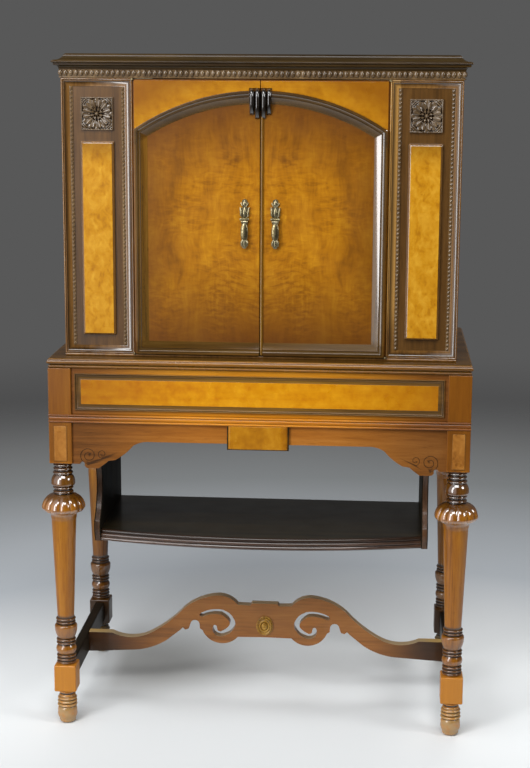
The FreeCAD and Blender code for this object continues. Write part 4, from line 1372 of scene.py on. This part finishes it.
def add_bead_row(bm, level):
    """Beads along the front, and along both sides behind the corner beads."""
    for across in evenly(-CASE_HALF, CASE_HALF, round(2 * CASE_HALF / BEAD_PITCH)):
        add_bead(bm, (across, CASE_FRONT - BEAD_PROUD, level), (BEAD_WIDE, BEAD_DEEP, BEAD_TALL), 12, 8)
    rows = evenly(CASE_FRONT, CASE_BACK, round((CASE_BACK - CASE_FRONT) / BEAD_PITCH))
    for _, side in SIDES:
        for depth in rows[1:-1]:
            spot = (side * (CASE_HALF + BEAD_PROUD), depth, level)
            add_bead(bm, spot, (BEAD_DEEP, BEAD_WIDE, BEAD_TALL), 12, 8)


def make_cornice():
    low, high = box_of("bead_moulding")
    foot, crest = low.z, high.z + FILLET_RISE
    fillet = curve((-2, crest), (1.8, crest), (1.8, foot + 3), (3.2, foot + 2.4), (3.2, foot + 0.8),
                   (2.4, foot), (-2, foot))
    bm = bmesh.new()
    sweep(bm, CASE_PATH, fillet, on_plan)
    add_bead_row(bm, foot + BEAD_RISE)
    finish_piece("cornice_beads", bm, carved_wood, "bead_moulding")

    top = box_of("cornice_moulding")[1].z
    cove = curve((-2, top), (12.5, top), (12.5, top - 3.4), (11.6, top - 4), (3, crest, -0.24), (-2, crest))
    swept_piece("cornice_cove", CASE_PATH, cove, on_plan, dark_wood, "cornice_moulding")

    foot, top = box_of("cornice_top")[0].z, box_of("cornice_top")[1].z
    ogee = curve((-TOP_INSET, top), (-10.5, top), (-4.5, top - 6, 0.16), (12.5, top - 13, -0.12),
                 (14.6, top - 14.2), (14.6, foot + 1, 0.42), (12.8, foot), (-TOP_INSET, foot))
    bm = bmesh.new()
    sweep(bm, CASE_PATH, ogee, on_plan)
    half = CASE_HALF - TOP_INSET + 1
    add_box(bm, (-half, CASE_FRONT + TOP_INSET - 1, foot + 0.2), (half, CASE_BACK, top - 0.3), 0.2, 1)
    finish_piece("cornice_board", bm, dark_wood, "cornice_top")


make_cornice()
print("bead row every", BEAD_PITCH, "mm")

# %% [markdown]
# ## Pilasters
# Each pilaster is a sunk field in a moulded frame, with a carved bead strip down both sides, a raised
# panel faced with burl, and a carved rosette. The frame is one section swept about the field: a hollow
# that climbs from the strip and a round bead on the outer corner, which catches the light. The strips are
# rows of beads on a thin back.

# %% Pilasters
STRIP_PITCH = 8.6
STRIP_WIDTH = 7.0
STRIP_THICK = 2.2
STRIP_BEAD = (5.6, 6.0, STRIP_PITCH * 0.93)
FRAME_WIDTH = 17.0
FRAME_SECTION = curve((0, -6.4), (0, -4.6), (1.2, -4.2), (11.2, -0.8, -0.09), (11.6, -0.2), (12.4, -0.2),
                      (12.6, -1), (12.8, -0.4), (FRAME_WIDTH, -0.6, 0.44), (FRAME_WIDTH, -6.4))
PANEL_BEVEL = 4.2
BURL_INSET = 4.4


def make_strips(name, ground, left, right, foot, top):
    count = round((top - foot) / STRIP_PITCH)
    bm = bmesh.new()
    for inner in (left, right - STRIP_WIDTH):
        add_box(bm, (inner, ground - STRIP_THICK, foot), (inner + STRIP_WIDTH, ground, top), 0.5, 1)
        for index in range(count):
            level = foot + (top - foot) * (index + 0.5) / count
            add_bead(bm, (inner + STRIP_WIDTH / 2, ground - 2.0, level), STRIP_BEAD, 8, 6)
    finish_piece(name + "_bead_rows", bm, carved_wood, name + "_bead_strips")
    return count


def make_pilaster(name):
    node = name + "_pilaster"
    low, high = box_of(node)
    ground = box_of(name + "_bead_strips")[1].y
    block_piece(node + "_ground", (low.x, ground, low.z), high, 0.8, ground_wood, node)
    field = (low.x + FRAME_WIDTH, high.x - FRAME_WIDTH, low.z + FRAME_WIDTH, high.z - FRAME_WIDTH)
    swept_piece(node + "_frame", rectangle(*field), FRAME_SECTION, on_front(low.y), frame_wood, node,
                closed=True)

    bm = copy_solid(node + "_panel")
    soften(bm, PANEL_BEVEL, 2)
    finish_piece(node + "_panel_bevelled", bm, frame_wood, node + "_panel")
    low, high = box_of(node + "_panel")
    corner = Vector((low.x + BURL_INSET, low.y - 0.5, low.z + BURL_INSET))
    opposite = Vector((high.x - BURL_INSET, low.y + 2, high.z - BURL_INSET))
    block_piece(node + "_burl", corner, opposite, 0.4, burl_finish, body="cabinet")
    return make_strips(name, ground, *field)


for name, _ in SIDES:
    beads = make_pilaster(name)
print("two pilasters with", beads, "beads in each strip")

# %% [markdown]
# ## Rosettes
# A rosette is a square block carved as a flower. Carving is a height that changes over the block, so a
# fine grid is raised by a formula: two rings of round petals that overlap, a ribbed leaf in each corner,
# a ring of small petals and a button. The highest of them wins at each point. A grid keeps the carving in
# the mesh and not only in the shading.

# %% Rosettes
ROSETTE_GRID = 96
ROSETTE_BACK = 1.6
PETALS = 12
SMALL_PETALS = 8
LEAF_BAND = (25, 46)
PETAL_BAND = (8, 30)
BETWEEN_BAND = (12, 33)
SMALL_BAND = (3.5, 12)
RIM_WIDTH = 3.2
RIM_HEIGHT = 4.2
BUTTON = 4.6


def bump_of(value, low, high):
    """0 outside low..high, 1 in its middle, smooth between."""
    if not low < value < high:
        return 0.0
    return math.sin(math.pi * (value - low) / (high - low))


def petal_of(turn, count, radius, start, end):
    """A rounded petal of a ring of petals: widest two thirds out, round at its tip."""
    if not start < radius < end:
        return 0.0
    share = (radius - start) / (end - start)
    half = 0.96 * math.sin(math.pi * share ** 1.5) ** 0.6
    aside = abs((turn * count / (2 * math.pi)) % 1 - 0.5) * 2
    return math.sqrt(max(0.0, 1 - (aside / max(half, 0.01)) ** 2)) * (0.55 + 0.45 * share)


def rosette_height(across, up, half):
    """Height of the carving over the ground, in millimetres."""
    radius = math.hypot(across, up)
    turn = math.atan2(up, across)
    edge = half - max(abs(across), abs(up))
    if edge < RIM_WIDTH:
        return RIM_HEIGHT * min(1.0, edge / 0.9) * min(1.0, (RIM_WIDTH + 0.4 - edge) / 0.9)
    rib = 0.55 + 0.45 * abs(math.cos(radius * 0.75))
    leaf = abs(math.sin(2 * turn)) ** 3 * bump_of(radius, *LEAF_BAND) * rib
    outer = petal_of(turn, PETALS, radius, *PETAL_BAND)
    between = petal_of(turn + math.pi / PETALS, PETALS, radius, *BETWEEN_BAND)
    ring = petal_of(turn, SMALL_PETALS, radius, *SMALL_BAND)
    button = math.sqrt(max(0.0, 1 - (radius / BUTTON) ** 2))
    return max(5.0 * leaf, 7.2 * outer, 5.0 * between, 8.4 * ring, 9.6 * button)


def add_rosette(bm, middle_x, middle_z, half, back_y):
    """A carved grid with its four sides and its back."""
    steps = evenly(-half, half, ROSETTE_GRID)
    rows = []
    for up in steps:
        line = []
        for across in steps:
            front = back_y - ROSETTE_BACK - rosette_height(across, up, half)
            line.append(bm.verts.new((middle_x + across, front, middle_z + up)))
        rows.append(line)
    for one, two in zip(rows, rows[1:]):
        for index in range(ROSETTE_GRID):
            bm.faces.new((one[index], one[index + 1], two[index + 1], two[index]))
    rim = rows[0] + [line[-1] for line in rows[1:]] + rows[-1][-2::-1] + [line[0] for line in rows[-2:0:-1]]
    back = [bm.verts.new((corner.co.x, back_y, corner.co.z)) for corner in rim]
    for index, corner in enumerate(rim):
        after = (index + 1) % len(rim)
        bm.faces.new((corner, rim[after], back[after], back[index]))
    bm.faces.new(back)


def make_rosettes():
    low, high = box_of("rosettes")
    half = (high.z - low.z) / 2
    bm = bmesh.new()
    for _, side in SIDES:
        add_rosette(bm, side * (high.x - half), (high.z + low.z) / 2, half, high.y)
    return finish_piece("rosettes_carved", bm, carved_wood, "rosettes", smooth=60)


flowers = make_rosettes()
print("rosettes of", len(flowers.data.vertices) // 2, "points each")

# %% [markdown]
# ## Doors
# A door is a flat veneered slab, with a cove moulding planted on it that runs along its foot, up its
# outer edge and over in half an arch. Pale corners fill the space over the arch, and a strip on the right
# door covers the meeting line. The moulding's path is an arc of one circle struck across both doors, a
# straight stile and a straight foot.

# %% Doors
KEYSTONE_HALF = 23.5
ARCH_STEPS = 30
INNER_EDGE = MOULDING_WIDTH
COVE_SECTION = curve((INNER_EDGE, -0.5), (INNER_EDGE, 0.4), (INNER_EDGE - 1, 0.5), (INNER_EDGE - 1.4, 0.8),
                     (INNER_EDGE - 2.4, 0.9), (13, 5.6, 0.02), (12.6, 4.8), (12, 4.8), (11.8, 6),
                     (6, 8.2, 0.12), (5.6, 7.4), (5, 7.4), (4.8, 8.3), (1, 8.4), (0, 7.6), (0, -0.5))


def moulding_path(name):
    """From the keystone round the arch, down the stile and in along the foot."""
    low, high = box_of(name + "_door_moulding")
    inner, edge = sorted((abs(low.x), abs(high.x)))
    start, end = math.asin(KEYSTONE_HALF / ARCH_RADIUS), math.asin(edge / ARCH_RADIUS)
    path = []
    for turn in evenly(start, end, ARCH_STEPS):
        path.append((ARCH_RADIUS * math.sin(turn), ARCH_CENTRE + ARCH_RADIUS * math.cos(turn)))
    return path + [(edge, low.z), (inner, low.z)]


def make_door(name, side):
    dress(name + "_door_slab", door_finish, 0.8)
    dress(name + "_spandrel", corner_finish, 0.7)
    face = box_of(name + "_door_slab")[0].y

    def on_door(point, rise):
        return Vector((side * point.x, face - rise, point.y))

    swept_piece(name + "_door_cove", moulding_path(name), COVE_SECTION, on_door, cove_wood,
                name + "_door_moulding")


for name, side in SIDES:
    make_door(name, side)
dress("astragal", strip_wood, 1.4)
print("doors with", len(moulding_path("right")), "points along each moulding")

# %% [markdown]
# ## Keystone
# Over the meeting line the arch is crowned by four reeds that stand well forward, round at the top and
# drawn back to points below. Each door carries two. A reed is a half-round ring carried down a curved
# side view: how far it stands out is a function of the height.

# %% Keystone
REED_REACH = 13.0
REED_STEPS = 24
REED_SIDES = 12
OUTER_REED_LIFT = 8


def reed_reach(share):
    """How far a reed stands out, from its domed top at 0 to its drawn-back foot at 1."""
    dome = math.sqrt(1 - (1 - min(1.0, share / 0.3)) ** 2)
    foot = math.cos(math.pi / 2 * max(0.0, (share - 0.5) / 0.5)) ** 0.7
    return 1.0 + REED_REACH * dome * foot


def make_keystone(name, side):
    low, high = box_of(name + "_keystone_half")
    inner, outer = sorted((abs(low.x), abs(high.x)))
    width = (outer - inner) / 2
    back = high.y
    bm = bmesh.new()
    for reed, foot in ((0, low.z), (1, low.z + OUTER_REED_LIFT)):
        middle = inner + width * (reed + 0.5)
        rings = []
        for share in evenly(0, 1, REED_STEPS):
            level = high.z - (high.z - foot) * share
            half = width / 2 * 0.98 * min(1.0, 0.55 + share * 4) * (1 - 0.4 * max(0.0, share - 0.6))
            ring = []
            for turn in evenly(0, math.pi, REED_SIDES):
                out = reed_reach(share) * math.sin(turn) ** 0.7
                ring.append(Vector((side * (middle + half * math.cos(turn)), back - 0.5 - out, level)))
            ring += [Vector((ring[-1].x, back, level)), Vector((ring[0].x, back, level))]
            rings.append(ring)
        loft(bm, rings)
    finish_piece(name + "_keystone_reeds", bm, ebony_wood, name + "_keystone_half", smooth=50)


for name, side in SIDES:
    make_keystone(name, side)
print("keystone of four reeds")

# %% [markdown]
# ## Drop pulls
# Each pull is two castings: a leaf-shaped back plate with a rolled bar across it, and a drop that hangs
# from a pin behind the bar. The drop has a swelling body and a tail of three fingers. Rings of ellipses
# joined by a loft suit these soft cast forms, and each leaf and finger is a small loft of its own.

# %% Drop pulls
PULL_X = 32.0
PIVOT_Y = -215.0
PIVOT_Z = 1109.0
# A row of a casting is how far aside, forward and up its middle lies, and half its width and depth.
SIDE_LEAF = ((5, 3, 9, 1.4, 1.4), (7.4, 4, 14, 2.6, 2.4), (7.8, 4, 21, 2.2, 2.4), (8.4, 3.4, 27, 1.6, 1.8),
             (9.2, 2.6, 30, 0.8, 0.8))
SIDE_TIP = ((2, 3, 31, 0.8, 1), (5, 3.2, 34, 2, 1.6), (6.6, 2.8, 37.5, 1.6, 1.2), (7.4, 2.4, 40, 0.5, 0.5))
MIDDLE_LEAF = ((0, 3, 9, 1.2, 1), (0, 4.6, 14, 4, 2.4), (0, 4.8, 20, 4.2, 2.6), (0, 4, 26, 2.8, 1.8),
               (0, 3, 30, 0.8, 0.8))
MIDDLE_TIP = ((0, 3, 32, 1.4, 1.2), (0, 3.6, 36.5, 4.2, 2.2), (0, 3.4, 40.5, 3.4, 1.8),
              (0, 2.6, 45, 0.7, 0.7))
DROP_BODY = ((0, 0, -2.5, 3.4, 2.0), (0, 0.6, -6, 5.4, 2.6), (0, 1.0, -12, 7.2, 3.2),
             (0, 1.2, -20, 8.0, 3.5), (0, 1.2, -27, 7.8, 3.4), (0, 0.8, -33, 6.6, 2.9),
             (0, 0.4, -37.5, 5.6, 2.4), (0, 0.2, -39, 4.0, 1.8))
SIDE_FINGER = ((2.8, 0.6, -36, 1.8, 1.8), (4.8, 1.0, -41, 2.4, 2.4), (5.8, 0.8, -46, 2.1, 2.2),
               (6.6, 0.4, -50, 0.9, 1.0))
MIDDLE_FINGER = ((0, 0.6, -36, 1.8, 1.8), (0, 1.0, -41, 2.4, 2.4), (0, 0.8, -50, 2.1, 2.2),
                 (0, 0.4, -54, 0.9, 1.0))
# The rolled bar, as shares of its length and of its radius.
BAR_SHAPE = ((-0.5, 0.55), (-0.47, 0.9), (-0.42, 1.0), (-0.34, 0.86), (0, 0.8), (0.34, 0.86), (0.42, 1.0),
             (0.47, 0.9), (0.5, 0.55))
BAR_LENGTH = 19.6
BAR_RADIUS = 3.2
BAR_SIDES = 16


def add_casting(bm, origin, rows, lean=1, sides=14):
    """Adds a loft through ellipses; a lean of -1 mirrors it."""
    rings = []
    for aside, forward, up, wide, deep in rows:
        middle = origin + Vector((lean * aside, -forward, up))
        ways = [Vector((wide * math.cos(turn), deep * math.sin(turn), 0)) for turn in turns(sides)]
        rings.append([middle + way for way in ways])
    loft(bm, rings)


def add_bar(bm, middle):
    """Adds a rolled bar along x with swollen ends."""
    rings = []
    for along, share in BAR_SHAPE:
        spot = middle + Vector((along * BAR_LENGTH, 0, 0))
        ways = [Vector((0, math.cos(turn), math.sin(turn))) for turn in turns(BAR_SIDES)]
        rings.append([spot + way * BAR_RADIUS * share for way in ways])
    loft(bm, rings)


def make_pull(name, side):
    pivot = Vector((side * PULL_X, PIVOT_Y, PIVOT_Z))
    plate = Vector((pivot.x, box_of(name + "_door_slab")[0].y, pivot.z))
    bm = copy_solid(name + "_pull_plate")
    soften(bm, 0.7, 2)
    add_bar(bm, pivot + Vector((0, 0.6, 5.6)))
    for lean in (-1, 1):
        add_casting(bm, plate, SIDE_LEAF, lean)
        add_casting(bm, plate, SIDE_TIP, lean)
    add_casting(bm, plate, MIDDLE_LEAF)
    add_casting(bm, plate, MIDDLE_TIP)
    finish_piece(name + "_pull_plate_cast", bm, brass, name + "_pull_plate")

    bm = copy_solid(name + "_pull_drop")
    add_casting(bm, pivot, DROP_BODY, sides=18)
    for lean, finger in ((-1, SIDE_FINGER), (0, MIDDLE_FINGER), (1, SIDE_FINGER)):
        add_casting(bm, pivot, finger, lean)
    finish_piece(name + "_pull_drop_cast", bm, brass, name + "_pull_drop")


for name, side in SIDES:
    make_pull(name, side)
    dress(name + "_door_leaves", brass, 0.25)
    dress(name + "_case_leaves", brass, 0.2)
dress("base_fillet", frame_wood, 2.0)
print("two drop pulls and four pivot hinges")

# %% [markdown]
# ## Nails in the back
# The thin back board is nailed into its rebate. Small domed heads are quickest as squashed balls in a
# loop along the four edges.

# %% Nails in the back
NAIL_INSET = 9.0
NAILS_ACROSS = 8
NAILS_DOWN = 6
NAIL_SIZE = (5, 1.6, 5)


def nail_back():
    low, high = box_of("back_panel")
    left, right, foot, top = low.x + NAIL_INSET, high.x - NAIL_INSET, low.z + NAIL_INSET, high.z - NAIL_INSET
    spots = []
    for x in evenly(left, right, NAILS_ACROSS):
        spots += [(x, foot), (x, top)]
    for z in evenly(foot, top, NAILS_DOWN)[1:-1]:
        spots += [(left, z), (right, z)]
    bm = bmesh.new()
    for x, z in spots:
        add_bead(bm, (x, high.y, z), NAIL_SIZE)
    finish_piece("back_nails", bm, brass, body="cabinet")
    return len(spots)


print(nail_back(), "nails")
